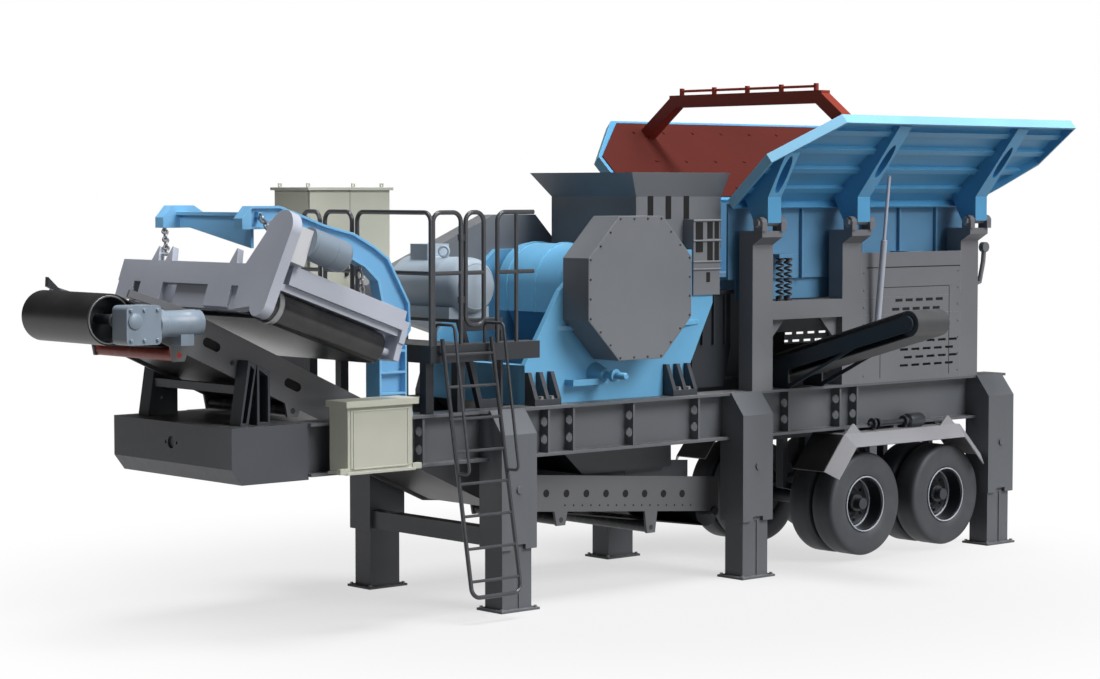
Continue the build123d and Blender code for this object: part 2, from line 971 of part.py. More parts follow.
def chute_shell(margin):
    """Solid of the inlet chute, drawn in by margin on its walled sides."""
    x0 = chute_rear + margin
    y = chute_half - margin
    low = block(x0, chute_front, -y, y, chute_bottom - overrun, chute_bend)
    bottom = Pos(0, 0, chute_bend) * make_face(Polyline((x0, -y), (chute_front, -y), (chute_front, y),
                                                        (x0, y), close=True))
    wide = y + chute_side_flare
    back = x0 - chute_flare
    top = Pos(0, 0, chute_top) * make_face(Polyline((back, -wide), (chute_front, -wide), (chute_front, wide),
                                                    (back, wide), close=True))
    return low + loft([bottom, top])


def inlet_chute():
    """Flared inlet chute on the crusher, open towards the feeder and slotted on its sides."""
    shell = chute_shell(0) - chute_shell(chute_wall)
    shell -= block(chute_front - chute_wall, chute_front + overrun, chute_wall - chute_half,
                   chute_half - chute_wall, chute_bottom - overrun, chute_top + overrun)
    cut = chute_top + overrun
    shell -= block(chute_rear - chute_flare - overrun, chute_front + overrun, -beam_half, beam_half,
                   chute_bottom - overrun - overrun, chute_bottom)
    shell -= block(chute_rear - chute_flare - overrun, chute_front + overrun, -beam_half, beam_half,
                   chute_top, cut)
    z1 = chute_bend - chute_wall
    for x in chute_slot_stations:
        shell -= block(x, x + chute_slot_width, -chute_half - overrun, chute_half + overrun,
                       z1 - chute_slot_depth, z1)
    return shell


def spout_body(margin):
    """Tapered solid of the discharge spout, drawn in by margin on its walls."""
    y = beam_half - flange_width - spout_clear - margin
    low = spout_low_half - margin
    top = Pos(0, 0, chassis_top) * make_face(Polyline(
        (spout_front + margin, -y), (spout_rear - margin, -y), (spout_rear - margin, y),
        (spout_front + margin, y), close=True))
    end = Pos(0, 0, spout_low_z) * make_face(Polyline(
        (spout_low_front + margin, -low), (spout_low_rear - margin, -low), (spout_low_rear - margin, low),
        (spout_low_front + margin, low), close=True))
    return loft([end, top])


def discharge_spout():
    """Open tapered spout from under the crusher down to the main conveyor."""
    return spout_body(0) - spout_body(spout_wall)


def motor():
    """Electric motor with stepped end shields, feet, terminal box and drive shaft."""
    near = motor_near - motor_end_length
    far = motor_far - motor_end_length
    body = rod_along_y(motor_x, -near, far, motor_z, motor_r)
    body += rod_along_y(motor_x, -motor_near, -near, motor_z, motor_end_r)
    body += rod_along_y(motor_x, far, motor_far, motor_z, motor_end_r)
    body += rod_along_y(motor_x, motor_far, cheek_outer + motor_end_length, motor_z, motor_shaft_r)
    half = motor_box_length * half_share
    body += block(motor_x - half, motor_x + half, -half, half, motor_z, motor_z + motor_r + motor_box_height)
    wide = motor_foot_width * half_share
    low = motor_z - motor_r - motor_foot_height * half_share
    body += block(motor_x - wide, motor_x + wide, -near, far, low, motor_z - motor_r + motor_foot_height)
    return body


def motor_base():
    """Open motor frame standing on the chassis beams behind the crusher."""
    low = motor_z - motor_r - motor_foot_height * half_share
    wide = motor_foot_width * half_share
    top = block(motor_x - wide, base_front, -base_half, base_half, low - base_wall, low)
    high = low - base_wall
    outline = [(motor_x - wide, high), (base_front, high), (base_front, chassis_top), (motor_x, chassis_top)]
    leg = side_plate(outline, base_half - base_leg, base_half)
    cx = (motor_x + base_front) * half_share
    cz = (high + chassis_top) * half_share
    window = [(cx + (x - cx) * (half_share + window_share), cz + (z - cz) * (half_share + window_share))
              for x, z in outline]
    leg -= side_plate(window, base_half - base_leg - overrun, base_half + overrun)
    return top + both(leg)


def post_tube(station):
    """Far hopper post, a closed box section."""
    return block(station, station + post_length, post_inner, beam_half, chassis_top, post_top)


def post_head(station):
    """Far clevis head on a post with a pair of rounded knuckle plates and a pin."""
    y1 = beam_half + head_over
    z0 = post_top - head_drop
    head = end_plate([(beam_half, z0), (y1, post_top - knuckle_r), (y1, post_top), (beam_half, post_top)],
                     station, station + post_length)
    mid = station + post_length * half_share
    gap = knuckle_gap * half_share
    for x in (mid - gap - knuckle_length, mid + gap):
        ear = block(x, x + knuckle_length, knuckle_y - knuckle_r, knuckle_y + knuckle_r, post_top, knuckle_z)
        ear += rod_along_x(x, x + knuckle_length, knuckle_y, knuckle_z, knuckle_r)
        head += ear
    reach = gap + knuckle_length
    return head + rod_along_x(mid - reach, mid + reach, knuckle_y, knuckle_z, knuckle_r * half_share)


def post_rail(x0, x1):
    """Far rail between two posts with a gusset at each end."""
    rail = block(x0, x1, post_inner, beam_half, rail_bottom, rail_top)
    y = (post_inner + beam_half) * half_share
    half = gusset_thick * half_share
    for corner, way in ((x0, gusset_side), (x1, -gusset_side)):
        gusset = [(corner, rail_bottom), (corner + way, rail_bottom), (corner, rail_bottom - gusset_side)]
        rail += side_plate(gusset, y - half, y + half)
    return rail


def hopper_side_frame():
    """Far row of hopper posts with their heads and rails."""
    frame = post_tube(post_stations[0]) + post_head(post_stations[0])
    for left, right in zip(post_stations, post_stations[1:]):
        frame += post_tube(right) + post_head(right)
        frame += post_rail(left + post_length, right)
    return frame


def side_panel():
    """Far louvred panel between the middle and rear posts."""
    x0 = post_stations[1] + post_length
    x1 = post_stations[2]
    panel = block(x0, x1, beam_half - panel_thick, beam_half, chassis_top, rail_bottom)
    panel += block(x0, x1, beam_half - panel_thick, beam_half, rail_top, panel_top)
    start = x0 + (x1 - x0) * half_share - louvre_pitch
    for row, z in enumerate(louvre_rows):
        if z + louvre_height < rail_bottom or z > rail_top:
            for i in range(louvre_count):
                x = start + louvre_pitch * i + louvre_shift * (row % 2)
                panel -= block(x, x + louvre_length, beam_half - panel_thick - overrun, beam_half + overrun,
                               z, z + louvre_height)
    return panel


def feeder_trough():
    """Vibrating feeder: open trough with flanges, ribs, slotted bars and spring shoes."""
    low = feeder_floor - feeder_wall
    trough = block(feeder_front, feeder_rear, -feeder_half, feeder_half, low, feeder_top)
    inner = feeder_half - feeder_wall
    trough -= block(feeder_front - overrun, feeder_rear - feeder_wall, -inner, inner,
                    feeder_floor, feeder_top + overrun)
    lip = feeder_top - feeder_wall
    edge = block(feeder_front, feeder_rear, feeder_half, feeder_half + feeder_flange, lip, feeder_top)
    trough += both(edge)
    for x in feeder_rib_stations:
        rib = block(x, x + feeder_rib_thick, feeder_half, feeder_half + feeder_rib_depth, low, lip)
        trough += both(rib)
    pitch = (inner + inner) / slot_bar_count
    for i in range(slot_bar_count):
        y = pitch * (i + half_share) - inner
        half = slot_bar_width * half_share
        trough -= block(feeder_front - overrun, feeder_front + slot_bar_length, y - half, y + half,
                        low - overrun, feeder_floor + overrun)
    for x in shoe_stations:
        shoe = block(x, x + shoe_length, feeder_half, shoe_out, shoe_z, shoe_z + shoe_thick)
        trough += both(shoe)
    return trough


def feeder_spring(station):
    """Far pair of coil springs, each a stack of rounded turns."""
    pitch = (shoe_z - rail_top) / spring_coils
    points = [(0, 0)]
    for i in range(spring_coils):
        points.append((spring_neck_r, pitch * i))
        points.append((spring_r, pitch * (i + half_share)))
    points.append((spring_neck_r, pitch * spring_coils))
    points.append((0, pitch * spring_coils))
    coil = revolve(Plane.XZ * make_face(Polyline(*points, close=True)), axis=Axis.Z)
    y = (post_inner + beam_half) * half_share
    x = station + shoe_length * half_share
    half = spring_gap * half_share
    return Pos(x - half, y, rail_top) * coil + Pos(x + half, y, rail_top) * coil


def wing_plane():
    """Plane of the far wing: local x along X, local y up the slope, normal to the outside."""
    slope = radians(wing_slope)
    return Plane(origin=(0, wing_low_y, wing_low_z), x_dir=(1, 0, 0), z_dir=(0, sin(slope), -cos(slope)))


def wing_outline(inset):
    """Outline of the wing in its own plane, drawn in by inset."""
    points = [(wing_front_low + inset, -inset), (wing_rear_low - inset, -inset),
              (wing_rear_step - inset, -wing_step_s), (wing_rear_mid - inset, -(wing_mid_s + inset)),
              (wing_rear_high - inset, inset - wing_high_s), (wing_front_high + inset, inset - wing_high_s),
              (wing_front_mid + inset, -wing_mid_s)]
    return make_face(Polyline(*points, close=True))


def on_wing(sketch, low, high):
    """Solid on the far wing between two heights along the plane's outward normal."""
    slab = extrude(sketch, amount=high - low)
    return wing_plane() * (Pos(0, 0, low) * slab)


def wing_rib(station):
    """Far curved rib from the post knuckle up the outside of the wing, with an oval opening."""
    slope = radians(wing_slope)
    mid = station + post_length * half_share
    half = wing_rib_width * half_share

    def spot(s, off):
        y = wing_low_y + s * cos(slope) + off * sin(slope)
        return (y, wing_low_z + s * sin(slope) - off * cos(slope))

    lead = (mid - half - wing_front_mid) / (wing_front_high - wing_front_mid)
    reach = min(wing_rib_reach_s, wing_mid_s + lead * (wing_high_s - wing_mid_s) - rim_thick)
    foot_y = knuckle_y + knuckle_r
    outline = [spot(wing_rib_low_s, wing_thick), spot(reach, wing_thick),
               spot(reach, wing_thick + channel_depth),
               (foot_y, knuckle_z + wing_rib_straight), (foot_y, knuckle_z),
               (foot_y - wing_rib_foot, knuckle_z)]
    rib = end_plate(outline, mid - half, mid + half)
    top = spot(reach, wing_thick + channel_depth)
    ease = atan2(top[1] - knuckle_z - wing_rib_straight, top[0] - foot_y)
    cy = (top[0] + foot_y) * half_share
    cz = (top[1] + knuckle_z + wing_rib_straight) * half_share
    hole_plane = Plane(origin=(mid, cy, cz), x_dir=(0, cos(ease), sin(ease)),
                       z_dir=(0, sin(ease), -cos(ease)))
    oval = extrude(Ellipse(wing_hole_length * half_share, wing_hole_width * half_share),
                   amount=wing_hole_depth, both=True)
    rib -= hole_plane * oval
    bore = rod_along_x(mid - post_length, mid + post_length, knuckle_y, knuckle_z, knuckle_r * half_share)
    return rib - bore


def hopper_wing():
    """Far hopper side: folded plate with rim, channel stiffeners and three ribs."""
    wing = on_wing(wing_outline(0), 0, wing_thick)
    rim_face = wing_outline(0) - wing_outline(rim_thick)
    wing += on_wing(rim_face, wing_thick, rim_depth)
    for share in channel_shares:
        s = wing_high_s * share
        half = channel_width * half_share
        strip = make_face(Polyline((wing_front_low, -s - half), (wing_rear_high, -s - half),
                                   (wing_rear_high, half - s), (wing_front_low, half - s), close=True))
        strip = strip & wing_outline(rim_thick)
        wing += on_wing(strip, wing_thick, channel_depth)
    for station in post_stations:
        wing += wing_rib(station)
    return wing


def wing_liner():
    """Far wear plate on the inner face of the wing."""
    return on_wing(wing_outline(liner_inset), -liner_thick, 0)


def hopper_rear_wall(wings):
    """Sloped end plate of the hopper, trimmed where the wings meet it."""
    high = wing_low_z + (wing_mid_s - liner_inset) * sin(radians(wing_slope))
    wide = wing_low_y + wing_mid_s * cos(radians(wing_slope))
    drop = wing_thick + wing_thick
    outline = [(wing_rear_low - wing_thick, wing_low_z), (wing_rear_low + drop, wing_low_z),
               (wing_rear_mid, high - drop), (wing_rear_mid, high), (wing_rear_mid - drop, high)]
    plate = side_plate(outline, -wide, wide)
    keep = end_plate([(-wing_low_y, wing_low_z), (wing_low_y, wing_low_z), (wide, high + overrun),
                      (-wide, high + overrun)], wing_rear_low - wide, wing_rear_high)
    return (plate & keep) - wings


def beyond_liner():
    """Far room behind the inner face of the liner, used to trim what stands on it."""
    reach = wing_rear_high - wing_front_low
    sheet = Pos(arch_x, 0) * Rectangle(reach, reach)
    return on_wing(sheet, -liner_thick, reach)


def arch():
    """Tube arch tying the wings, with the spray pipe on top."""
    half = arch_side * half_share
    lean = degrees(atan2(arch_z - arch_foot_z, arch_foot_y - arch_half))
    leg_length = hypot(arch_z - arch_foot_z, arch_foot_y - arch_half)
    wide = arch_half + half
    tube = block(arch_x - half, arch_x + half, -wide, wide, arch_z - half, arch_z + half)
    leg = Pos(arch_x, arch_half, arch_z) * Rot(-lean, 0, 0) * Pos(0, leg_length * half_share, 0) * Box(
        arch_side, leg_length, arch_side)
    tube += both(leg)
    top = arch_z + half
    pipe = rod_along_y(arch_x, -spray_half, spray_half, top + spray_lift, spray_r)
    pitch = (spray_half + spray_half) / (nozzle_count - 1)
    for i in range(nozzle_count):
        y = pitch * i - spray_half
        pipe += rod_along_z(arch_x, y, top, top + spray_lift + nozzle_height, nozzle_r)
    return tube - both(beyond_liner()) + pipe


def wing_cylinder():
    """Far lifting cylinder from the post panel to the wing."""
    low = (cylinder_x, cylinder_y, cylinder_low_z)
    top = (cylinder_x, cylinder_top_y, cylinder_top_z)
    mid = tuple(a + (b - a) * cylinder_share for a, b in zip(low, top))
    half = cylinder_lug * half_share
    body = bar_between(low, mid, cylinder_r) + bar_between(low, top, cylinder_rod_r)
    return body + block(cylinder_x - half, cylinder_x + half, beam_half, cylinder_y,
                        cylinder_low_z - half, cylinder_low_z + half)


def belt_line(up):
    """Offset line of the main conveyor's axis, head to tail, at a height measured square to it."""
    incline = atan2(head_z - bend_z, bend_x - head_x)
    flat = atan2(bend_z - tail_z, tail_x - bend_x)
    middle = (incline + flat) * half_share
    spread = up / cos((incline - flat) * half_share)
    return [(head_x + up * sin(incline), head_z + up * cos(incline)),
            (bend_x + spread * sin(middle), bend_z + spread * cos(middle)),
            (tail_x + up * sin(flat), tail_z + up * cos(flat))]


def along_incline(run, up):
    """Point on the incline at a distance from the head and a height square to it."""
    incline = atan2(head_z - bend_z, bend_x - head_x)
    return (head_x + run * cos(incline) + up * sin(incline), head_z - run * sin(incline) + up * cos(incline))


def along_tail(x, up):
    """Point on the lower run at a station x and a height above it."""
    slope = (tail_z - bend_z) / (tail_x - bend_x)
    return (x, bend_z + slope * (x - bend_x) + up)


def snub_lean():
    """Angle between the belt's run off the head drum and the incline."""
    return atan2(head_r + return_rise, snub_run)


def belt_side(grow):
    """Side-view face enclosed by the belt, larger by grow."""
    top = belt_line(head_r + grow)
    tail_top = belt_line(tail_r + grow)
    low = belt_line(return_rise - grow)
    snub = along_incline(snub_run, return_rise - grow)
    lean = snub_lean()
    head_low = along_incline((head_r + grow) * sin(lean), -(head_r + grow) * cos(lean))
    points = [top[0], (top[1][0], top[1][1]), tail_top[2], (tail_x, tail_z - tail_r - grow),
              low[1], snub, head_low]
    face = side_face(points)
    face += Pos(head_x, 0, head_z) * (Plane.XZ * Circle(head_r + grow))
    face += Pos(tail_x, 0, tail_z) * (Plane.XZ * Circle(tail_r + grow))
    return face


def conveyor_belt():
    """Closed belt loop over the head and tail drums."""
    ring = belt_side(belt_thick) - belt_side(0)
    return Pos(0, belt_half, 0) * extrude(ring, amount=belt_half + belt_half)


def plate_low_z(x):
    """Height of the side plate's lower edge at a station."""
    rise = (head_z - bend_z) / (bend_x - head_x)
    return head_z - (x - head_x) * rise if x < bend_x else along_tail(x, 0)[1]


def conveyor_side_plate():
    """Far conveyor side plate, bent at the foot of the incline, with its openings."""
    start = along_incline(plate_head_gap, 0)
    start_top = along_incline(plate_head_gap, plate_depth)
    low = belt_line(0)
    high = belt_line(plate_depth)
    end_x = tail_x + plate_tail_gap
    points = [start, low[1], along_tail(end_x, 0), along_tail(end_x, plate_depth), high[1], start_top]
    outer = plate_inner + plate_thick
    plate = side_plate(points, plate_inner, outer)
    incline = degrees(atan2(head_z - bend_z, bend_x - head_x))
    for run in plate_hole_runs:
        x, z = along_incline(run, plate_depth * half_share)
        slot = Rot(0, incline, 0) * extrude(Plane.XZ * SlotOverall(plate_hole_length, plate_hole_width),
                                            amount=plate_thick + overrun, both=True)
        plate -= Pos(x, plate_inner, z) * slot
    for x in plate_dot_stations:
        z = along_tail(x, plate_depth * half_share)[1]
        plate -= rod_along_y(x, plate_inner - overrun, outer + overrun, z, plate_dot_r)
    ear = rod_along_y(head_x, plate_inner, outer, head_z, head_ear_r)
    neck = head_ear_r * half_share
    arm = [along_incline(0, -neck), along_incline(plate_head_gap, 0),
           along_incline(plate_head_gap, plate_depth), along_incline(0, neck)]
    plate += side_plate(arm, plate_inner, outer) + ear
    bar = [along_incline(head_arm_run, head_arm_up - head_arm_depth),
           along_incline(head_arm_run, head_arm_up), along_incline(plate_head_gap, plate_depth),
           along_incline(plate_head_gap, plate_depth - head_arm_depth)]
    plate += side_plate(bar, plate_inner, outer)
    for x, z in roller_spots():
        left = x - hanger_reach
        right = x + hanger_reach
        hanger = [(left, plate_low_z(left) + hanger_lap), (x - roller_r, z - roller_r), (x + roller_r, z - roller_r),
                  (right, plate_low_z(right) + hanger_lap)]
        plate += side_plate(hanger, plate_inner, outer)
        plate -= rod_along_y(x, plate_inner - overrun, outer + overrun, z, roller_r * half_share)
    plate -= rod_along_y(head_x, plate_inner - overrun, outer + overrun, head_z, drum_shaft_r)
    return plate - rod_along_y(tail_x, plate_inner - overrun, outer + overrun, tail_z, drum_shaft_r)


def conveyor_drums():
    """Head and tail drums with their shafts, the head drum open at its ends."""
    head = rod_along_y(head_x, -belt_half, belt_half, head_z, head_r)
    hollow = rod_along_y(head_x, belt_half - drum_recess, belt_half + overrun, head_z, head_r - drum_shell)
    head -= both(hollow)
    reach = plate_inner + plate_thick + gearbox_set + gearbox_width
    head += rod_along_y(head_x, -reach, drum_shaft_half, head_z, drum_shaft_r)
    tail = rod_along_y(tail_x, -belt_half, belt_half, tail_z, tail_r)
    tail += rod_along_y(tail_x, -drum_shaft_half, drum_shaft_half, tail_z, drum_shaft_r)
    return head + tail


def roller_spots():
    """Side-view places of the return rollers' axes."""
    start = snub_run + (roller_r + belt_thick) * tan(snub_lean() * half_share)
    spots = [along_incline(start + run, return_rise - belt_thick - roller_r) for run in roller_runs]
    x0, z0 = belt_line(return_rise - belt_thick)[1]
    fall = (tail_z - tail_r - belt_thick - z0) / (tail_x - x0)
    for x in roller_tail_stations:
        spots.append((x, z0 + (x - x0) * fall - roller_r / cos(atan2(fall, 1))))
    return spots


def return_rollers():
    """Rollers under the return run, on stub shafts in the side plates' hangers."""
    made = []
    half = plate_inner - roller_gap
    reach = plate_inner + plate_thick
    for x, z in roller_spots():
        roller = rod_along_y(x, -half, half, z, roller_r)
        made.append(roller + rod_along_y(x, -reach, reach, z, roller_r * half_share))
    return gather(made)


def gear_motor():
    """Near right-angle gear motor on the head shaft."""
    y1 = -(plate_inner + plate_thick + gearbox_set)
    y0 = y1 - gearbox_width
    x0 = head_x - drum_shaft_r - gearbox_lead
    end = x0 + gearbox_length
    mid_z = head_z - gearbox_drop
    tall = gearbox_height * half_share
    box = block(x0, end, y0, y1, mid_z - tall, mid_z + tall)
    box = fillet(box.edges().filter_by(Axis.Y), gearbox_round)
    mid = (y0 + y1) * half_share
    drive = rod_along_x(end, end + gear_bell_length, mid, mid_z, gear_motor_r + gear_bell_lip)
    drive += rod_along_x(end + gear_bell_length, end + gear_motor_length, mid, mid_z, gear_motor_r)
    x = end + gear_motor_length * half_share
    half = terminal_side * half_share
    low = mid_z - gear_motor_r - terminal_height
    drive += block(x, x + terminal_side, mid - half, mid + half, low, mid_z)
    box += drive
    return box - rod_along_y(head_x, y0 - overrun, y1 + overrun, head_z, drum_shaft_r)


def plate_middle_z(x):
    """Height of the middle of the conveyor side plate at a station on the incline."""
    return plate_low_z(x) + plate_depth * half_share


def conveyor_post(station, length, lean):
    """Far post from the front box to the conveyor side plate, an outward channel."""
    y0 = plate_inner + plate_thick
    x1 = station + length
    t = post_frame_wall
    outline = [(station - lean, chassis_top), (x1 - lean, chassis_top), (x1, plate_middle_z(x1)),
               (station, plate_middle_z(station))]
    post = side_plate(outline, y0, post_frame_outer)
    hollow = [(station + t - lean, chassis_top + t), (x1 - t - lean, chassis_top + t),
              (x1 - t, plate_middle_z(x1) - t - t), (station + t, plate_middle_z(station) - t - t)]
    return post - side_plate(hollow, y0 + t, post_frame_outer + overrun)


def post_gusset():
    """Far drilled plate between the two posts of one side."""
    x0 = post_frame_stations[0] + post_frame_lengths[0]
    x1 = post_frame_stations[1]
    y0 = plate_inner + plate_thick
    low = x0 - post_frame_leans[0]
    outline = [(low, chassis_top), (x1, chassis_top), (x1, plate_middle_z(x1)), (x0, plate_middle_z(x0))]
    plate = side_plate(outline, y0, y0 + post_frame_wall)
    for share in post_hole_shares:
        z = chassis_top + (plate_middle_z(x1) - chassis_top) * share
        x = x1 - post_frame_wall - post_hole_r
        plate -= rod_along_y(x, y0 - overrun, y0 + post_frame_wall + overrun, z, post_hole_r)
    return plate


def conveyor_posts():
    """Conveyor support posts with their gussets and a cross tie."""
    frame = both(post_gusset())
    for station, length, lean in zip(post_frame_stations, post_frame_lengths, post_frame_leans):
        frame += both(conveyor_post(station, length, lean))
    x0 = post_frame_stations[0] - post_frame_leans[0] * half_share + post_frame_wall
    y = plate_inner + plate_thick + post_frame_wall
    x1 = x0 + post_frame_lengths[0] - post_frame_wall
    tie = block(x0, x1, -y, y, frame_tie_z, frame_tie_z + frame_tie_depth)
    return frame + tie


def tilt():
    """Placement of the magnet: local x down the slope, local z square to it."""
    return Pos(magnet_x, magnet_y, magnet_z) * Rot(0, magnet_tilt, 0)


def chain_guard(u):
    """Leaning guard over the magnet's chain drive, its face at u."""
    end = u + chain_guard_thick
    top_left = chain_guard_y + chain_guard_r
    top_right = chain_guard_y - chain_guard_r
    outline = [(guard_edge_y, -shield_low), (guard_edge_y, end_plate_high), (top_left, chain_guard_w),
               (top_right, chain_guard_w), (guard_foot_y - guard_foot_r, guard_foot_w)]
    case = end_plate(outline, u, end)
    case += rod_along_x(u, end, guard_foot_y, guard_foot_w, guard_foot_r)
    return case + rod_along_x(u, end, chain_guard_y, chain_guard_w, chain_guard_r)


def lifting_lugs(u):
    """Fin-shaped lugs along the top of the front end plate and the chain pin."""
    top = end_plate_high + lug_height
    half = lug_width * half_share
    lugs = rod_along_y(u + lug_thick * half_share, lug_places[1], lug_places[0],
                       end_plate_high + lug_height * half_share, lug_pin_r)
    for y in lug_places:
        fin = [(y - half, end_plate_high), (y + half, end_plate_high), (y, top), (y - lug_pin_r, top)]
        lugs += end_plate(fin, u, u + lug_thick)
    return lugs


def magnet_frame():
    """Magnet frame: end plates, covers, core, drums and the chain guard."""
    u0 = magnet_front_u
    u1 = magnet_rear_u
    t = end_plate_thick
    frame = block(u0 - t, u0, -magnet_half, magnet_half, end_plate_low, end_plate_high)
    frame += block(u1 - t, u1, -magnet_half, magnet_half, end_plate_low, end_plate_high)
    inner = magnet_half - cover_width
    cover = block(cover_front_u, u1 - t, inner, magnet_half, cover_low, cover_high)
    cover += block(u0, u1 - t, inner, magnet_half - cover_set, side_member_low, cover_low)
    frame += both(cover)
    core = block(magnet_belt_front_u, magnet_belt_rear_u, -core_half, core_half, core_low, core_high)
    side = core_half * half_share
    ends = both(block(u0 - t, magnet_belt_front_u, side, core_half, core_low, end_plate_high))
    tails = both(block(magnet_belt_rear_u, u1, side, core_half, core_low, end_plate_high))
    drum = rod_along_x(magnet_belt_front_u, magnet_belt_rear_u, drum_y, 0, drum_r)
    drum += rod_along_x(u0 - t, u1, drum_y, 0, drum_shaft)
    bearing = block(u0 - t, u0, drum_y - drum_r, drum_y + drum_r, -drum_r * half_share, end_plate_low)
    bearing += block(u1 - t, u1, drum_y - drum_r, drum_y + drum_r, -drum_r * half_share, end_plate_low)
    frame += core + ends + tails + both(drum) + both(bearing)
    frame += block(u0 - t * half_share, u0, -shield_near, shield_far, -shield_low, end_plate_low)
    frame += block(u0, magnet_motor_start_u, -bracket_near, -bracket_far, cover_high, bracket_high)
    frame += chain_guard(u0 - t) + lifting_lugs(u0 - t)
    return tilt() * frame


def magnet_belt():
    """Closed belt across the magnet, over its two drums."""
    def loop(grow):
        r = drum_r + grow
        band = make_face(Polyline((-drum_y, -r), (drum_y, -r), (drum_y, r), (-drum_y, r), close=True))
        return band + Pos(-drum_y, 0) * Circle(r) + Pos(drum_y, 0) * Circle(r)

    ring = Plane.YZ * (loop(magnet_belt_thick) - loop(0))
    belt = extrude(ring, amount=magnet_belt_rear_u - magnet_belt_front_u)
    return tilt() * (Pos(magnet_belt_front_u, 0, 0) * belt)


def magnet_motor():
    """Drive motor of the magnet belt with a domed end."""
    start = magnet_motor_start_u
    body = rod_along_x(start, start + magnet_motor_length, magnet_motor_y, magnet_motor_w, magnet_motor_r)
    end = body.edges().filter_by(GeomType.CIRCLE).sort_by(Axis.X)[-1]
    return tilt() * fillet(end, magnet_motor_dome)


def chain(low, high):
    """Chain of flat links from a low point to a high one, each link turned on the last."""
    reach = Vector(*high) - Vector(*low)
    count = max(chain_fewest, int(round(reach.length / chain_link_pitch)))
    pitch = reach.length / count
    tall = pitch + chain_bar
    inner = chain_link_width - chain_bar - chain_bar
    ring = SlotOverall(tall, chain_link_width) - SlotOverall(tall - chain_bar - chain_bar, inner)
    link = extrude(Plane.XZ * (Rot(0, 0, quarter_turn) * ring), amount=chain_bar * half_share, both=True)
    made = None
    for i in range(count):
        turned = Pos(0, 0, pitch * (i + half_share)) * (Rot(0, 0, quarter_turn * (i % 2)) * link)
        made = turned if made is None else made + turned
    return Plane(origin=low, z_dir=reach) * made


def crosshead():
    """Tapered beam from the jib arm to the far prong."""
    inner = jib_outer - jib_thick
    half = crosshead_thick * half_share
    outline = [(-inner, crosshead_top), (-inner, crosshead_root_low),
               (crosshead_far * half_share, crosshead_tip_low), (crosshead_far, crosshead_tip_low),
               (crosshead_far, crosshead_top)]
    web = end_plate(outline, crosshead_x - half, crosshead_x + half)
    wide = crosshead_flange * half_share
    web += block(crosshead_x - wide, crosshead_x + wide, -inner, crosshead_far,
                 crosshead_top - crosshead_thick, crosshead_top)
    prong = [(jib_tip_x, jib_low_z), (jib_tip_x, jib_low_z + jib_tip_rise),
             (jib_tip_x + jib_tip_run, jib_top_z), (jib_tip_x + prong_length - jib_tip_run, jib_top_z),
             (jib_tip_x + prong_length, crosshead_top),
             (jib_tip_x + prong_length, jib_low_z)]
    return web + side_plate(prong, crosshead_far - jib_thick, crosshead_far)


def jib_outline():
    """Side-view points of the jib arm and its column."""
    foot_top = chassis_top + column_foot_thick
    points = [(jib_tip_x, jib_low_z), (jib_tip_x, jib_low_z + jib_tip_rise),
              (jib_tip_x + jib_tip_run, jib_top_z)]
    points += list(jib_top_line)
    points += [(column_head_x, column_head_z), (column_front, column_head_z - column_neck),
               (column_front, foot_top), (column_rear, foot_top), (column_rear, column_waist_z)]
    return points + list(jib_low_line)


def jib():
    """Curved jib arm of I-section on its ribbed column, with the crosshead and far prong."""
    foot_top = chassis_top + column_foot_thick
    inner = jib_outer - jib_thick
    arm = side_plate(jib_outline(), -jib_outer, -inner)
    sunk = offset(make_face(Polyline(*jib_outline(), close=True)), -jib_flange, kind=Kind.INTERSECTION)
    window = Polyline((jib_tip_x + jib_tip_run, column_head_z), (column_head_x, column_head_z),
                      (column_head_x, jib_top_z), (jib_tip_x + jib_tip_run, jib_top_z), close=True)
    sunk = extrude(Plane.XZ * (sunk & make_face(window)), amount=jib_recess + overrun)
    arm -= Pos(0, jib_recess - jib_outer, 0) * sunk
    arm -= Pos(0, overrun - inner, 0) * sunk
    lug = chain_lug_side * half_share
    arm += block(chain_near_x - lug, chain_near_x + lug, chain_near_y - chain_bar, jib_recess - jib_outer,
                 chain_near_z, chain_near_z + chain_lug_side)
    reach = jib_outer + column_foot_over
    arm += block(column_rear - column_foot_over, column_front + column_foot_over, -reach, -inner,
                 chassis_top, foot_top)
    for z in column_rib_stations:
        arm += block(column_rear, column_front, -reach, -jib_outer, z, z + column_rib_thick)
    for x in (column_rear, column_front - column_rib_thick):
        arm += block(x, x + column_rib_thick, -reach, -jib_outer, foot_top, column_head_z - column_neck)
    return arm + crosshead()


def on_magnet(u, y, w):
    """Place of a point given in the magnet's own directions."""
    slope = radians(magnet_tilt)
    x = magnet_x + u * cos(slope) + w * sin(slope)
    return (x, magnet_y + y, magnet_z - u * sin(slope) + w * cos(slope))


def magnet_chains(frame, arm):
    """Three chains from the jib to the magnet, trimmed to what they hang from and hold."""
    pin_u = magnet_front_u - end_plate_thick + lug_thick * half_share
    pin_w = end_plate_high + lug_height * half_share
    pin = on_magnet(pin_u, (lug_places[0] + lug_places[1]) * half_share, pin_w)
    links = chain(pin, (chain_far_x, chain_far_y, jib_low_z + chain_bar))
    middle_u = (magnet_front_u + magnet_motor_start_u) * half_share
    side = on_magnet(middle_u, -bracket_far - chain_bar, (cover_high + bracket_high) * half_share)
    links += chain(side, (chain_near_x, chain_near_y, chain_near_z + chain_bar))
    tail = on_magnet(magnet_rear_u - end_plate_thick * half_share, chain_rear_y - magnet_y,
                     end_plate_high - chain_bar)
    links += chain(tail, (chain_rear_x, chain_rear_y, chain_rear_z + chain_bar))
    return links - frame - arm


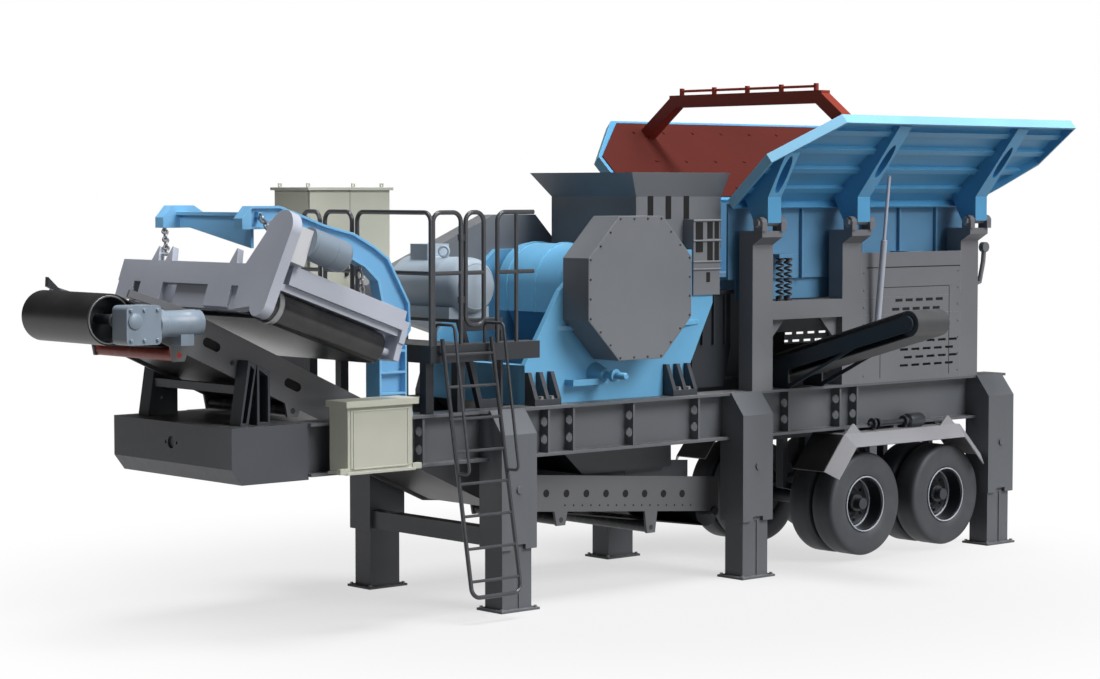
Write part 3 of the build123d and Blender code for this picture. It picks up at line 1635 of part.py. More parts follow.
def deck():
    """Working platform: floor plate, skirt, legs and far brackets."""
    back = motor_x - motor_foot_width * half_share - deck_gap
    side = web_inner + deck_gap
    plan = [(deck_rear, -deck_near), (deck_front, -deck_near), (deck_front, -side), (back, -side),
            (back, side), (deck_far_front, side), (deck_far_front, deck_far), (deck_rear, deck_far)]
    face = make_face(Polyline(*plan, close=True))
    floor = Pos(0, 0, deck_z - deck_thick) * extrude(face, amount=deck_thick)
    ring = face - offset(face, -deck_skirt)
    floor += Pos(0, 0, deck_z - deck_depth) * extrude(ring, amount=deck_depth - deck_thick)
    half = deck_leg_side * half_share
    top = deck_z - deck_thick
    for x in deck_leg_stations:
        leg = block(x - half, x + half, deck_leg_y - half, deck_leg_y + half, chassis_top, top)
        floor += both(leg)
    x = deck_far_leg_x
    floor += block(x - half, x + half, deck_leg_y - half, deck_leg_y + half, chassis_top, top)
    for x in (deck_leg_stations[0], deck_far_leg_x):
        outline = [(deck_leg_y + half, deck_strut_z), (deck_far - deck_skirt, top - deck_depth * half_share),
                   (deck_far - deck_skirt, top), (deck_leg_y + half, top)]
        t = deck_strut_thick * half_share
        floor += end_plate(outline, x - t, x + t)
    return floor


def rail_hoop(a, b):
    """Railing panel between two foot points: rounded hoop with a middle bar."""
    top = deck_z + rail_height
    mid = deck_z + rail_mid
    hoop = tube_path([(a[0], a[1], deck_z), (a[0], a[1], top), (b[0], b[1], top), (b[0], b[1], deck_z)],
                     rail_bend, rail_r)
    return hoop + bar_between((a[0], a[1], mid), (b[0], b[1], mid), rail_r - rail_step)


def railings():
    """Railing panels along the discharge end and the ladder side."""
    x = deck_rear + rail_inset
    y = rail_inset - deck_near
    top = deck_z + rail_height
    mid = deck_z + rail_mid
    slim = rail_r - rail_step
    made = [rail_hoop((x, low), (x, high)) for low, high in rail_panels]
    left = tube_path([(gate_left, y, deck_z), (gate_left, y, top), (rail_corner_x, y, top),
                      (rail_corner_x, y, deck_z)], rail_bend, rail_r)
    made.append(left + bar_between((rail_corner_x, y, mid), (gate_left, y, mid), slim))
    right = tube_path([(rail_right[0], y, deck_z), (rail_right[0], y, top), (rail_end_x, y, top)],
                      rail_bend, rail_r)
    right += bar_between((rail_right[0], y, mid), (rail_end_x, y, mid), slim)
    right += rod_along_z(rail_right[1], y, deck_z, top, slim)
    made.append(right)
    return gather(made)


def ladder_gate():
    """Hinged gate across the head of the ladder."""
    y = rail_inset - deck_near
    low = deck_z + gate_low
    top = deck_z + rail_height
    mid = deck_z + rail_mid
    left = gate_left + rail_r + rail_r + gate_gap
    right = gate_right - gate_gap
    frame = bar_between((left, y, mid), (right, y, mid), rail_r - rail_step)
    for z in (low, top):
        frame += tube_path([(left, y, mid), (left, y, z), (right, y, z), (right, y, mid)], rail_bend, rail_r)
    outer = rail_r + gate_sleeve
    for share in gate_sleeve_shares:
        z = low + (top - low) * share
        sleeve = rod_along_z(gate_left, y, z, z + gate_sleeve_length, outer)
        sleeve += block(gate_left, left, y - gate_sleeve, y + gate_sleeve, z, z + gate_sleeve_length)
        frame += sleeve - rod_along_z(gate_left, y, z - overrun, z + gate_sleeve_length + overrun,
                                      rail_r + gate_clear)
    return frame


def ladder():
    """Leaning ladder with rounded foot, rungs and looped handrails."""
    top = deck_z + ladder_r + ladder_r + ladder_r
    a = (ladder_left, -ladder_top_y, top)
    b = (ladder_left, -ladder_foot_y, ladder_foot_z)
    c = (ladder_right, -ladder_foot_y, ladder_foot_z)
    d = (ladder_right, -ladder_top_y, top)
    frame = tube_path([a, b, c, d], rail_bend, ladder_r)
    for i in range(rung_count):
        share = (i + half_share) / rung_count
        y = -ladder_top_y - (ladder_foot_y - ladder_top_y) * share
        z = top - (top - ladder_foot_z) * share
        frame += rod_along_x(ladder_left, ladder_right, y, z, rung_r)
    low_y = -ladder_top_y - (ladder_foot_y - ladder_top_y) * hand_low_share
    low_z = top - (top - ladder_foot_z) * hand_low_share
    over = deck_z + hand_rise
    inside = -deck_near + rail_inset + rail_r + rail_r
    for x in (ladder_left, ladder_right):
        path = [(x, low_y, low_z), (x, low_y - hand_out, low_z), (x, -ladder_top_y - hand_out, over),
                (x, inside, over), (x, inside, deck_z)]
        frame += tube_path(path, rail_bend * half_share, rung_r)
        z = deck_z - deck_depth * half_share
        frame += rod_along_y(x, -ladder_top_y - ladder_r, -deck_near, z, rung_r)
    return frame


def cabinet_hinge_point():
    """Vertical hinge line of the cabinet leaf."""
    return (cabinet_left - hinge_out, cabinet_front_y - hinge_front)


def cabinet_body():
    """Switch cabinet with an overhanging roof, a fixed right leaf, lifting eyes and hinge pins."""
    x1 = cabinet_left + cabinet_width
    y1 = cabinet_front_y + cabinet_depth
    z1 = deck_z + cabinet_height
    body = block(cabinet_left, x1, cabinet_front_y, y1, deck_z, z1)
    mid = cabinet_left + cabinet_width * half_share
    body -= block(cabinet_left + cabinet_wall, x1 - cabinet_wall, cabinet_front_y + cabinet_wall,
                  y1 - cabinet_wall, deck_z + cabinet_wall, z1 - cabinet_wall)
    body -= block(cabinet_left + cabinet_wall, mid - cabinet_wall, cabinet_front_y - overrun,
                  cabinet_front_y + cabinet_wall + overrun, deck_z + cabinet_wall, z1 - cabinet_wall)
    body += block(mid + door_gap * half_share, x1, cabinet_front_y - door_seat - door_thick, cabinet_front_y,
                  deck_z + door_gap, z1)
    body += block(cabinet_left - roof_over, x1 + roof_over, cabinet_front_y - roof_over - door_thick,
                  y1 + roof_over, z1, z1 + roof_thick)
    for x in (cabinet_left + eye_side, x1 - eye_side):
        for y in (cabinet_front_y + eye_side, y1 - eye_side):
            top = z1 + roof_thick
            half = eye_side * half_share
            eye = block(x - half, x + half, y, y + eye_thick, top, top + eye_side)
            eye -= rod_along_y(x, y - overrun, y + eye_thick + overrun, top + half, eye_hole_r)
            body += eye
    hx, hy = cabinet_hinge_point()
    for share in hinge_shares:
        z = deck_z + cabinet_height * share
        low = z - hinge_ear - hinge_lift
        high = z + hinge_length + hinge_lift
        body += rod_along_z(hx, hy, low, high + hinge_ear, hinge_pin_r)
        for start in (low, high):
            ear = rod_along_z(hx, hy, start, start + hinge_ear, hinge_r)
            ear += block(hx - hinge_pin_r, hx + hinge_pin_r, hy, cabinet_front_y + hinge_ear,
                         start, start + hinge_ear)
            ear += block(hx, cabinet_left, cabinet_front_y + door_gap, cabinet_front_y + hinge_ear,
                         start, start + hinge_ear)
            body += ear
    return body


def cabinet_door():
    """Swinging left leaf of the cabinet with its knuckles."""
    y1 = cabinet_front_y - door_seat
    mid = cabinet_left + cabinet_width * half_share
    hx, hy = cabinet_hinge_point()
    leaf = block(cabinet_left + door_gap, mid - door_gap * half_share, y1 - door_thick, y1,
                 deck_z + door_gap, deck_z + cabinet_height - door_gap)
    for share in hinge_shares:
        z = deck_z + cabinet_height * share
        knuckle = rod_along_z(hx, hy, z, z + hinge_length, hinge_r)
        knuckle += block(hx, cabinet_left + door_gap, hy - hinge_pin_r, hy + hinge_pin_r, z, z + hinge_length)
        leaf += knuckle - rod_along_z(hx, hy, z - overrun, z + hinge_length + overrun,
                                      hinge_pin_r + hinge_pin_clear)
    return leaf


def small_box():
    """Side box with an overhanging lid, a proud door panel and a bottom tray."""
    y1 = -beam_half
    y0 = y1 - box_depth
    x1 = box_left + box_width
    z1 = box_bottom + box_height
    box = block(box_left, x1, y0, y1, box_bottom, z1)
    box += block(box_left - box_lid_over, x1 + box_lid_over, y0 - box_lid_over, y1, z1, z1 + box_lid_thick)
    box += block(box_left - box_tray, x1 + box_tray, y0 - box_tray, y1, box_bottom - box_tray, box_bottom)
    box += block(box_left + box_door_inset, x1 - box_door_inset, y0 - box_door_proud, y0,
                 box_bottom + box_door_inset, z1 - box_door_inset)
    return box


def side_length():
    """Distance between the side conveyor's drums."""
    return hypot(side_head_y - side_tail_y, side_head_z - side_tail_z)


def side_place(part):
    """Put a piece drawn along local Y on the near side conveyor's slope."""
    slope = degrees(atan2(side_head_z - side_tail_z, side_head_y - side_tail_y))
    return mirror(Pos(side_x, side_tail_y, side_tail_z) * Rot(slope, 0, 0) * part, about=Plane.XZ)


def side_frame():
    """Side conveyor frame: two plates, feet on the beam and a strut on each side."""
    run = side_length()
    half = side_width * half_share + door_gap
    deep = side_plate_depth * half_share
    plate = block(half, half + side_plate_thick, 0, run, -deep, deep)
    plate += rod_along_x(half, half + side_plate_thick, 0, 0, deep)
    plate += rod_along_x(half, half + side_plate_thick, run, 0, deep)
    for s in (0, run):
        plate -= rod_along_x(half - overrun, half + side_plate_thick + overrun, s, 0, side_shaft_r)
    pair = plate + mirror(plate, about=Plane.YZ)
    frame = side_place(pair)
    rise = (side_head_z - side_tail_z) / (side_head_y - side_tail_y)
    y0 = beam_half - flange_width + rib_set
    y1 = beam_half - rib_set
    z = side_tail_z + (y1 - side_tail_y) * rise
    reach_y = side_tail_y + (side_head_y - side_tail_y) * strut_share
    reach_z = side_tail_z + (side_head_z - side_tail_z) * strut_share
    for x in (side_x - half - side_plate_thick, side_x + half):
        frame += block(x, x + side_plate_thick, -y1, -y0, chassis_top, z)
        bar = [(-y1, chassis_top), (-y1, chassis_top + strut_side), (-reach_y, reach_z),
               (-reach_y - strut_side, reach_z)]
        frame += end_plate(bar, x, x + side_plate_thick)
    return frame


def side_belt():
    """Closed belt of the side conveyor."""
    run = side_length()

    def loop(r):
        band = make_face(Polyline((0, -r), (run, -r), (run, r), (0, r), close=True))
        return band + Circle(r) + Pos(run, 0) * Circle(r)

    ring = Plane.YZ * (loop(side_drum_r + side_belt_thick) - loop(side_drum_r))
    half = side_width * half_share
    return side_place(Pos(-half, 0, 0) * extrude(ring, amount=side_width))


def side_rollers():
    """Drums of the side conveyor."""
    run = side_length()
    half = side_width * half_share
    reach = half + door_gap + side_plate_thick
    made = None
    for s in (0, run):
        drum = rod_along_x(-half, half, s, 0, side_drum_r) + rod_along_x(-reach, reach, s, 0, side_shaft_r)
        made = drum if made is None else made + drum
    return side_place(made)


def place_wheel(part, station, near):
    """Put a far wheel piece on its axle, mirrored for the near side."""
    placed = Pos(station, 0, wheel_z) * part
    return mirror(placed, about=Plane.XZ) if near else placed


wings = both(hopper_wing())
liners = both(wing_liner())
plates = both(conveyor_side_plate())
frame = magnet_frame()
arm = jib()

save("chassis_beams", both(chassis_beam()))
ties = [cross_member(station) for station in cross_stations]
save("chassis_cross_members", gather(ties + [leg_tie(front_leg_x), leg_tie(rear_leg_x)]))
save("front_box", front_box())
save("leg_casings", gather([both(leg_casing(station)) for station in leg_stations]))
save("leg_rams", gather([both(leg_ram(station)) for station in leg_stations]))
for side, near in (("near", True), ("far", False)):
    for end, station in zip(("front", "rear"), wheel_stations):
        save(side + "_" + end + "_tyres", place_wheel(wheel_tyres(), station, near))
        save(side + "_" + end + "_rims", place_wheel(rim(), station, near))
save("running_gear", running_gear())
save("fenders", both(fender()))
save("crusher_frame", crusher_frame())
save("swing_jaw", swing_jaw())
save("crusher_feet", both(gather([foot_brackets(station) for station in foot_block_stations])))
save("flywheel_guard", flywheel_guard())
save("belt_guard", belt_guard())
save("inlet_chute", inlet_chute())
save("discharge_spout", discharge_spout())
save("motor", motor())
save("motor_base", motor_base())
save("feeder_trough", feeder_trough())
save("feeder_springs", gather([both(feeder_spring(station)) for station in shoe_stations]))
save("hopper_posts", both(hopper_side_frame()))
save("side_panels", both(side_panel()))
save("hopper_wings", wings)
save("hopper_liners", liners)
save("hopper_rear_wall", hopper_rear_wall(wings))
save("arch", arch())
save("wing_cylinders", both(wing_cylinder()))
save("conveyor_side_plates", plates)
save("conveyor_belt", conveyor_belt())
save("conveyor_drums", conveyor_drums())
save("return_rollers", return_rollers())
save("gear_motor", gear_motor())
save("conveyor_posts", conveyor_posts())
save("magnet_frame", frame)
save("magnet_belt", magnet_belt())
save("magnet_motor", magnet_motor())
save("magnet_chains", magnet_chains(frame, arm))
save("jib", arm)
save("platform", deck())
save("railings", railings())
save("ladder", ladder())
save("ladder_gate", ladder_gate())
save("cabinet_body", cabinet_body())
save("cabinet_door", cabinet_door())
save("small_box", small_box())
save("side_conveyor_frame", side_frame())
save("side_conveyor_belt", side_belt())
save("side_conveyor_drums", side_rollers())
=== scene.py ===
import math

import bmesh
import bpy
import numpy as np
from bpy.props import FloatProperty, FloatVectorProperty, IntProperty, PointerProperty
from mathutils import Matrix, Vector


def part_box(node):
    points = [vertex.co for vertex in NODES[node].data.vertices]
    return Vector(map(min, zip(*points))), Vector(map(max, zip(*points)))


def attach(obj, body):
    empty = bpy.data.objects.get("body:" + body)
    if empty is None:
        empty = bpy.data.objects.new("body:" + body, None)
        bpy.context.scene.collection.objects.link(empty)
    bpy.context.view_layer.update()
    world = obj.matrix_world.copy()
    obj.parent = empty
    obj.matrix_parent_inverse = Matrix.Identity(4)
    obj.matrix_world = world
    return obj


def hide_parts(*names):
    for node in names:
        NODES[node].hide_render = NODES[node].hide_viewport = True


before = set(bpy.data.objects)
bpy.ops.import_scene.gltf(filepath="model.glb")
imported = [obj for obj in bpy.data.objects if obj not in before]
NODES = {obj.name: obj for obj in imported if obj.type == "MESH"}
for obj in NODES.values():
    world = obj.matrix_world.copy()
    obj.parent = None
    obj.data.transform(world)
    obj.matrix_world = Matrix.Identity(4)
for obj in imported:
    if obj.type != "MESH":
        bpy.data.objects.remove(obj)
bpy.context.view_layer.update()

bl_info = {
    "name": "Mobile jaw crusher looks",
    "version": (1, 0, 0),
    "blender": (4, 5, 0),
    "location": "View3D > Sidebar > Crusher",
    "description": "Finishes, fittings and studio for a towed jaw crushing plant",
    "category": "Object",
}

# The drawing's datum is the discharge-side face of the front leg, on the centre line and on the floor.
FOOT_OVER = 0.056
LEGS = np.array(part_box("leg_rams"))
DATUM = np.array([-LEGS[0, 0] - FOOT_OVER, -LEGS[:, 1].mean(), 0.0])

# Drawing positions in metres that several fittings share.
LEG_X = (0.178, 3.343, 7.178)
LEG_Y = 0.989
FOOT_HALF = (0.204, 0.149)
BEAM_HALF = 0.965
POST_X = (3.445, 4.785, 6.690)
POST_LENGTH = 0.295
GUARD_CENTRE = (1.755, 2.955)
GUARD_HALF = (0.680, 0.689)
GUARD_CHAMFER = 0.395
GUARD_Y = -1.110
GUARD_PROUD = 0.0015
HEAD = (-3.815, 2.811)
BEND = (0.456, 0.857)
PLATE_OUTER = 0.638
MAGNET = (-2.235, -0.260, 2.760)
MAGNET_TILT = math.radians(19.3)
WING_LOW = (0.702, 3.787)
WING_SLOPE = math.radians(41.0)
LINER = 0.012
HEAD_ROLLER_END = -2.9
NEAR = np.array([0.0, -1.0, 0.0])
UP = np.array([0.0, 0.0, 1.0])
EAST = np.array([1.0, 0.0, 0.0])

# Dust and rust that settle on the finishes, as sRGB hex.
STONE_DUST = "#b9b2a6"
ROLLER_DUST = "#8c857c"
RUBBER_DUST = "#7b7770"
HOLLOW_DUST = "#3a3833"
RUST = "#6b5646"

# Edges that turn by more than this stay sharp on smooth pieces.
SHARP = math.radians(34)


def at(points):
    """Drawing positions in metres, measured from the front leg, as positions in the frame."""
    return np.asarray(points, float) - DATUM


def linear(text):
    """An sRGB hex colour as linear RGBA."""
    c = np.array([int(text[i:i + 2], 16) for i in (1, 3, 5)]) / 255
    c = np.where(c <= 0.04045, c / 12.92, ((c + 0.055) / 1.055) ** 2.4)
    return (*c.tolist(), 1.0)


def colour(name, words, text):
    """A colour a user may change, given as sRGB hex."""
    return FloatVectorProperty(name=name, description=words, subtype="COLOR", size=4, min=0.0, max=1.0,
                               default=linear(text))


def length(name, words, metres):
    """A length a user may change."""
    return FloatProperty(name=name, description=words, unit="LENGTH", default=metres)


def strength(name, words, power):
    """A light's strength a user may change."""
    return FloatProperty(name=name, description=words, default=power)


class CrusherColours(bpy.types.PropertyGroup):
    """Paints, rubbers and steels of the plant."""

    chassis: colour("Chassis", "Sprayed paint of beams and legs", "#62656a")
    # The front box's grey is darker than the chassis grey, partly as painted shade for the box's shaded end face.
    nose: colour("Front box", "Sprayed paint of the front box", "#484b52")
    slate: colour("Slate", "Sprayed paint of conveyor posts and feet", "#33373e")
    # Dark paint of spout, platform, bolts, handles and scraper, and painted shade on the drums and the feed skirt.
    shadow: colour("Dark fittings", "Sprayed paint of spout, skirt and platform", "#2b2f35")
    navy: colour("Side conveyor", "Sprayed paint of the side conveyor", "#28323c")
    guard: colour("Guards", "Sprayed paint of flywheel and belt guards", "#75787d")
    plate: colour("Side plates", "Sprayed paint of conveyor plates", "#66676a")
    panel: colour("Panels", "Sprayed paint of hopper posts and side panels", "#77787d")
    rim: colour("Rims", "Sprayed paint inside the wheels", "#24272c")
    fender: colour("Mudguards", "Sprayed paint of the mudguards", "#9f9fa4")
    magnet: colour("Magnet", "Sprayed paint of the magnet's frame", "#bcc1ce")
    sky: colour("Crusher blue", "Sprayed paint of the crusher", "#6cb0da")
    arm: colour("Jib blue", "Sprayed paint of the jib", "#79b7e3")
    wing: colour("Hopper blue", "Sprayed paint of the hopper wings", "#5aa5d4")
    # The hopper rims' pale blue is a painted highlight along the wings' front and upper edges.
    edge: colour("Hopper rims", "Fresh paint on the hopper's rims", "#93d0f3")
    trough: colour("Feeder blue", "Sprayed paint of the feeder", "#5d8fb4")
    beige: colour("Cabinets", "Powder coat of cabinets and small box", "#bcbdaf")
    liner: colour("Liners", "Primer on the hopper's wear plates", "#5a251f")
    primer: colour("Arch", "Primer on the arch and the first roller", "#93301c")
    enamel: colour("Motors", "Enamel of the drive motors", "#8593a1")
    # Paler than the other motors' enamel, partly as painted light making up for the motor's place in shade behind the
    # railing.
    main_motor: colour("Main motor", "Enamel of the crusher motor", "#aebdcb")
    tube: colour("Tubes", "Paint of railings and ladder", "#404246")
    belt: colour("Belts", "Conveyor rubber", "#1c1c1d")
    magnet_belt: colour("Magnet belt", "Oiled conveyor rubber", "#222326")
    side_belt: colour("Side belt", "Worn conveyor rubber", "#434446")
    bright: colour("Bracket", "Pale paint of the magnet motor's bracket", "#d4d5d8")
    tyre: colour("Tyres", "Tread rubber under dust", "#404349")
    steel: colour("Steel", "Rolled and turned steel", "#8f9092")
    # Near black that is painted shade in slots, holes, windows and openings, and also the colour of dark seams.
    hole: colour("Hollows", "Unlit inside of slots and openings", "#0b0c0e")


class CrusherFittings(bpy.types.PropertyGroup):
    """Sizes of the fittings."""

    bolt_across: length("Bolt head", "Hex head across its flats", 0.030)
    bolt_tall: length("Bolt height", "Head and washer", 0.019)
    anchor_across: length("Anchor nut", "Nut on a foot plate", 0.030)
    nut_across: length("Wheel nut", "Wheel nut across its flats", 0.033)
    pin_across: length("Pivot nut", "Nut on a wing pivot", 0.078)
    coil_turns: IntProperty(name="Spring turns", description="Turns of a feeder spring", default=7)
    coil_wire: length("Spring wire", "Radius of the spring wire", 0.0115)


class CrusherStage(bpy.types.PropertyGroup):
    """Floor and lamps."""

    floor: colour("Floor", "Studio floor as the camera sees it", "#b8b8b8")
    bounce: colour("Floor bounce", "Studio floor as it lights the plant", "#5a5a5a")
    whiten: FloatProperty(name="Floor white", description="Share of plain white in the floor by the plant",
                          default=0.64, subtype="FACTOR", min=0.0, max=1.0)
    key_power: strength("Key light", "Strength of the soft sun", 2.35)
    low_power: strength("Low light", "Strength of the level sun on the ladder side", 0.55)
    top_power: strength("Top light", "Strength of the overhead sun", 3.0)
    spot_power: strength("Spots", "Strength of the soft spots on the discharge side", 100.0)
    fill: strength("Fill", "Strength of the even light all round", 0.11)


def feed(tree, made, **links):
    """Feeds or sets a node's sockets, each by its name or, as i0, by its index."""
    for key, value in links.items():
        socket = made.inputs[int(key[1:])] if key[1:].isdigit() else made.inputs[key.replace("_", " ")]
        if isinstance(value, bpy.types.NodeSocket):
            tree.links.new(value, socket)
        else:
            socket.default_value = value


def node(tree, kind, settings=None, **links):
    """Adds a shader node; settings go on the node, links feed its sockets."""
    made = tree.nodes.new("ShaderNode" + kind)
    for key, value in (settings or {}).items():
        setattr(made, key, value)
    feed(tree, made, **links)
    return made


def new_material(name):
    """Empty node material; returns material, tree, Principled shader and the place on the object."""
    material = bpy.data.materials.new(name)
    material.use_nodes = True
    tree = material.node_tree
    return material, tree, tree.nodes["Principled BSDF"], node(tree, "TexCoord").outputs["Object"]


def noise(tree, place, millimetres, detail):
    """Cloudy noise whose features repeat about once in this many millimetres."""
    return node(tree, "TexNoise", Vector=place, Scale=1000.0 / millimetres, Detail=detail).outputs["Fac"]


def ramp(tree, factor, low, high):
    """Smooth step of a value from 0 at low to 1 at high."""
    return node(tree, "MapRange", {"interpolation_type": "SMOOTHSTEP"}, Value=factor,
                From_Min=low, From_Max=high).outputs["Result"]


def between(tree, factor, low, high):
    """A value from 0 to 1 carried to the span from low to high."""
    return node(tree, "MapRange", Value=factor, To_Min=low, To_Max=high).outputs["Result"]


def mix(tree, factor, a, b):
    """Colour a going over to colour b by factor."""
    return node(tree, "Mix", {"data_type": "RGBA"}, i0=factor, i6=a, i7=b).outputs[2]


def product(tree, a, b):
    """Two values multiplied."""
    return node(tree, "Math", {"operation": "MULTIPLY"}, i0=a, i1=b).outputs[0]


def larger(tree, a, b):
    """The larger of two values."""
    return node(tree, "Math", {"operation": "MAXIMUM"}, i0=a, i1=b).outputs[0]


def shade(tint, share):
    """A linear colour scaled, kept under paper white."""
    return (*(min(0.8, c * share) for c in tint[:3]), 1.0)


def machine_paint(name, tint, rough=0.42, dust=0.35, edge_mm=5.0, gloss=0.5):
    """Sprayed two-pack paint on plate: clouded coat, paler edges that are partly rubbed wear and partly a painted
    highlight, dust on level faces, fine orange peel.
    """
    material, tree, shader, place = new_material(name)
    tint = tuple(tint)
    plain = node(tree, "NewGeometry").outputs["Normal"]
    soft = node(tree, "Bevel", {"samples": 4}, Radius=edge_mm / 1000).outputs["Normal"]
    turn = node(tree, "VectorMath", {"operation": "DOT_PRODUCT"}, i0=plain, i1=soft).outputs["Value"]
    grit = noise(tree, place, 60, 5.0)
    body = mix(tree, ramp(tree, noise(tree, place, 900, 3.0), 0.3, 0.75), tint, shade(tint, 0.88))
    # Paler edges where the Bevel normal turns from the plain normal: partly rubbed wear, partly a painted highlight
    # along every edge.
    pale_mark = product(tree, ramp(tree, turn, 0.995, 0.80), ramp(tree, grit, 0.2, 0.6))
    body = mix(tree, pale_mark, body, shade(tint, 1.9))
    up = node(tree, "SeparateXYZ", Vector=plain).outputs["Z"]
    lie = product(tree, ramp(tree, up, 0.85, 1.0), ramp(tree, grit, 0.3, 0.8))
    body = mix(tree, product(tree, lie, dust), body, linear(STONE_DUST))
    # Orange peel is finer than this on the plant; 14 mm is as fine as a render shows.
    peel = noise(tree, place, 14, 2.0)
    skin = node(tree, "Bump", Strength=0.05, Distance=0.002, Height=peel, Normal=soft).outputs["Normal"]
    feed(tree, shader, Base_Color=body, Roughness=between(tree, grit, rough - 0.07, rough + 0.1), Normal=skin,
         Specular_IOR_Level=gloss)
    return material


def roller_paint(name, first, rest, change):
    """Lagged rollers: primer red on the head roller, slate on those past the change along X, with rubbed bands."""
    material, tree, shader, place = new_material(name)
    along_x = node(tree, "SeparateXYZ", Vector=place).outputs["X"]
    body = mix(tree, ramp(tree, along_x, change - 0.05, change + 0.05), tuple(first), tuple(rest))
    pale_mark = product(tree, ramp(tree, noise(tree, place, 70, 4.0), 0.5, 0.8), 0.4)
    feed(tree, shader, Base_Color=mix(tree, pale_mark, body, linear(ROLLER_DUST)), Roughness=0.45)
    return material


def dusty_rubber(name, tint, dust, rough, imprint_mm):
    """Calendered or moulded rubber: near black, low sheen, fine imprint and pale stone dust in clouds."""
    material, tree, shader, place = new_material(name)
    lie = product(tree, ramp(tree, noise(tree, place, 260, 5.0), 0.35, 0.8), dust)
    weave = noise(tree, place, imprint_mm, 2.0)
    skin = node(tree, "Bump", Strength=0.12, Distance=0.002, Height=weave).outputs["Normal"]
    feed(tree, shader, Base_Color=mix(tree, lie, tuple(tint), linear(RUBBER_DUST)), Roughness=rough, Normal=skin)
    return material


def rolled_steel(name, tint, rough=0.35):
    """Turned or rolled steel with a grey film: metallic, uneven roughness, brown rust in patches."""
    material, tree, shader, place = new_material(name)
    cloud = noise(tree, place, 60, 5.0)
    body = mix(tree, ramp(tree, cloud, 0.55, 0.8), tuple(tint), linear(RUST))
    feed(tree, shader, Base_Color=body, Metallic=0.8, Roughness=between(tree, cloud, rough - 0.1, rough + 0.2))
    return material


def hollow_black(name, tint):
    """Painted shade for the unlit hollow behind a slot or opening, the same near black also drawing dark seams: matt,
    with a trace of dust.
    """
    material, tree, shader, place = new_material(name)
    lie = product(tree, noise(tree, place, 120, 3.0), 0.15)
    feed(tree, shader, Base_Color=mix(tree, lie, tuple(tint), linear(HOLLOW_DUST)), Roughness=0.9)
    return material


# Material and settings of every machine paint.
PAINTS = {
    "chassis": ("chassis_grey_sprayed_paint", {}),
    "nose": ("nose_grey_sprayed_paint", {}),
    "slate": ("slate_sprayed_paint", {}),
    "shadow": ("dark_sprayed_paint", {}),
    "guard": ("guard_grey_sprayed_paint", {}),
    "plate": ("plate_grey_sprayed_paint", {}),
    "panel": ("panel_grey_sprayed_paint", {}),
    "rim": ("wheel_rim_sprayed_paint", {"rough": 0.3, "dust": 0.1}),
    "edge": ("hopper_rim_sprayed_paint", {"dust": 0.0}),
    "bright": ("pale_bracket_paint", {"dust": 0.1}),
    "fender": ("mudguard_grey_sprayed_paint", {}),
    "navy": ("side_conveyor_sprayed_paint", {}),
    "magnet": ("magnet_grey_sprayed_paint", {}),
    "sky": ("crusher_blue_sprayed_paint", {"dust": 0.2}),
    "arm": ("jib_blue_sprayed_paint", {"dust": 0.15}),
    "wing": ("hopper_blue_sprayed_paint", {"dust": 0.2}),
    "trough": ("feeder_blue_sprayed_paint", {}),
    "beige": ("beige_powder_coat", {"rough": 0.5, "dust": 0.2}),
    "liner": ("liner_primer", {"rough": 0.6, "dust": 0.0, "gloss": 0.1}),
    "primer": ("red_brown_primer", {"rough": 0.5, "dust": 0.2}),
    "enamel": ("motor_enamel", {"rough": 0.35, "dust": 0.2, "edge_mm": 3.0}),
    "main_motor": ("crusher_motor_enamel", {"rough": 0.35, "dust": 0.2, "edge_mm": 3.0}),
    "tube": ("tube_paint", {"rough": 0.3, "dust": 0.1, "edge_mm": 2.0}),
}


def build_finishes(c):
    """All the plant's finishes by name."""
    made = {finish: machine_paint(name, getattr(c, finish), **settings) for finish, (name, settings) in PAINTS.items()}
    change = float(at([HEAD_ROLLER_END, 0, 0])[0])
    return {
        **made,
        "roller": roller_paint("lagged_roller_paint", c.primer, c.shadow, change),
        "belt": dusty_rubber("calendered_belt_rubber", c.belt, 0.06, 0.42, 6),
        "oiled": dusty_rubber("oiled_belt_rubber", c.magnet_belt, 0.1, 0.24, 6),
        "worn": dusty_rubber("worn_belt_rubber", c.side_belt, 0.2, 0.5, 6),
        "tyre": dusty_rubber("moulded_tyre_rubber", c.tyre, 0.15, 0.55, 9),
        "steel": rolled_steel("rolled_steel", c.steel),
        "hole": hollow_black("hollow_black", c.hole),
    }


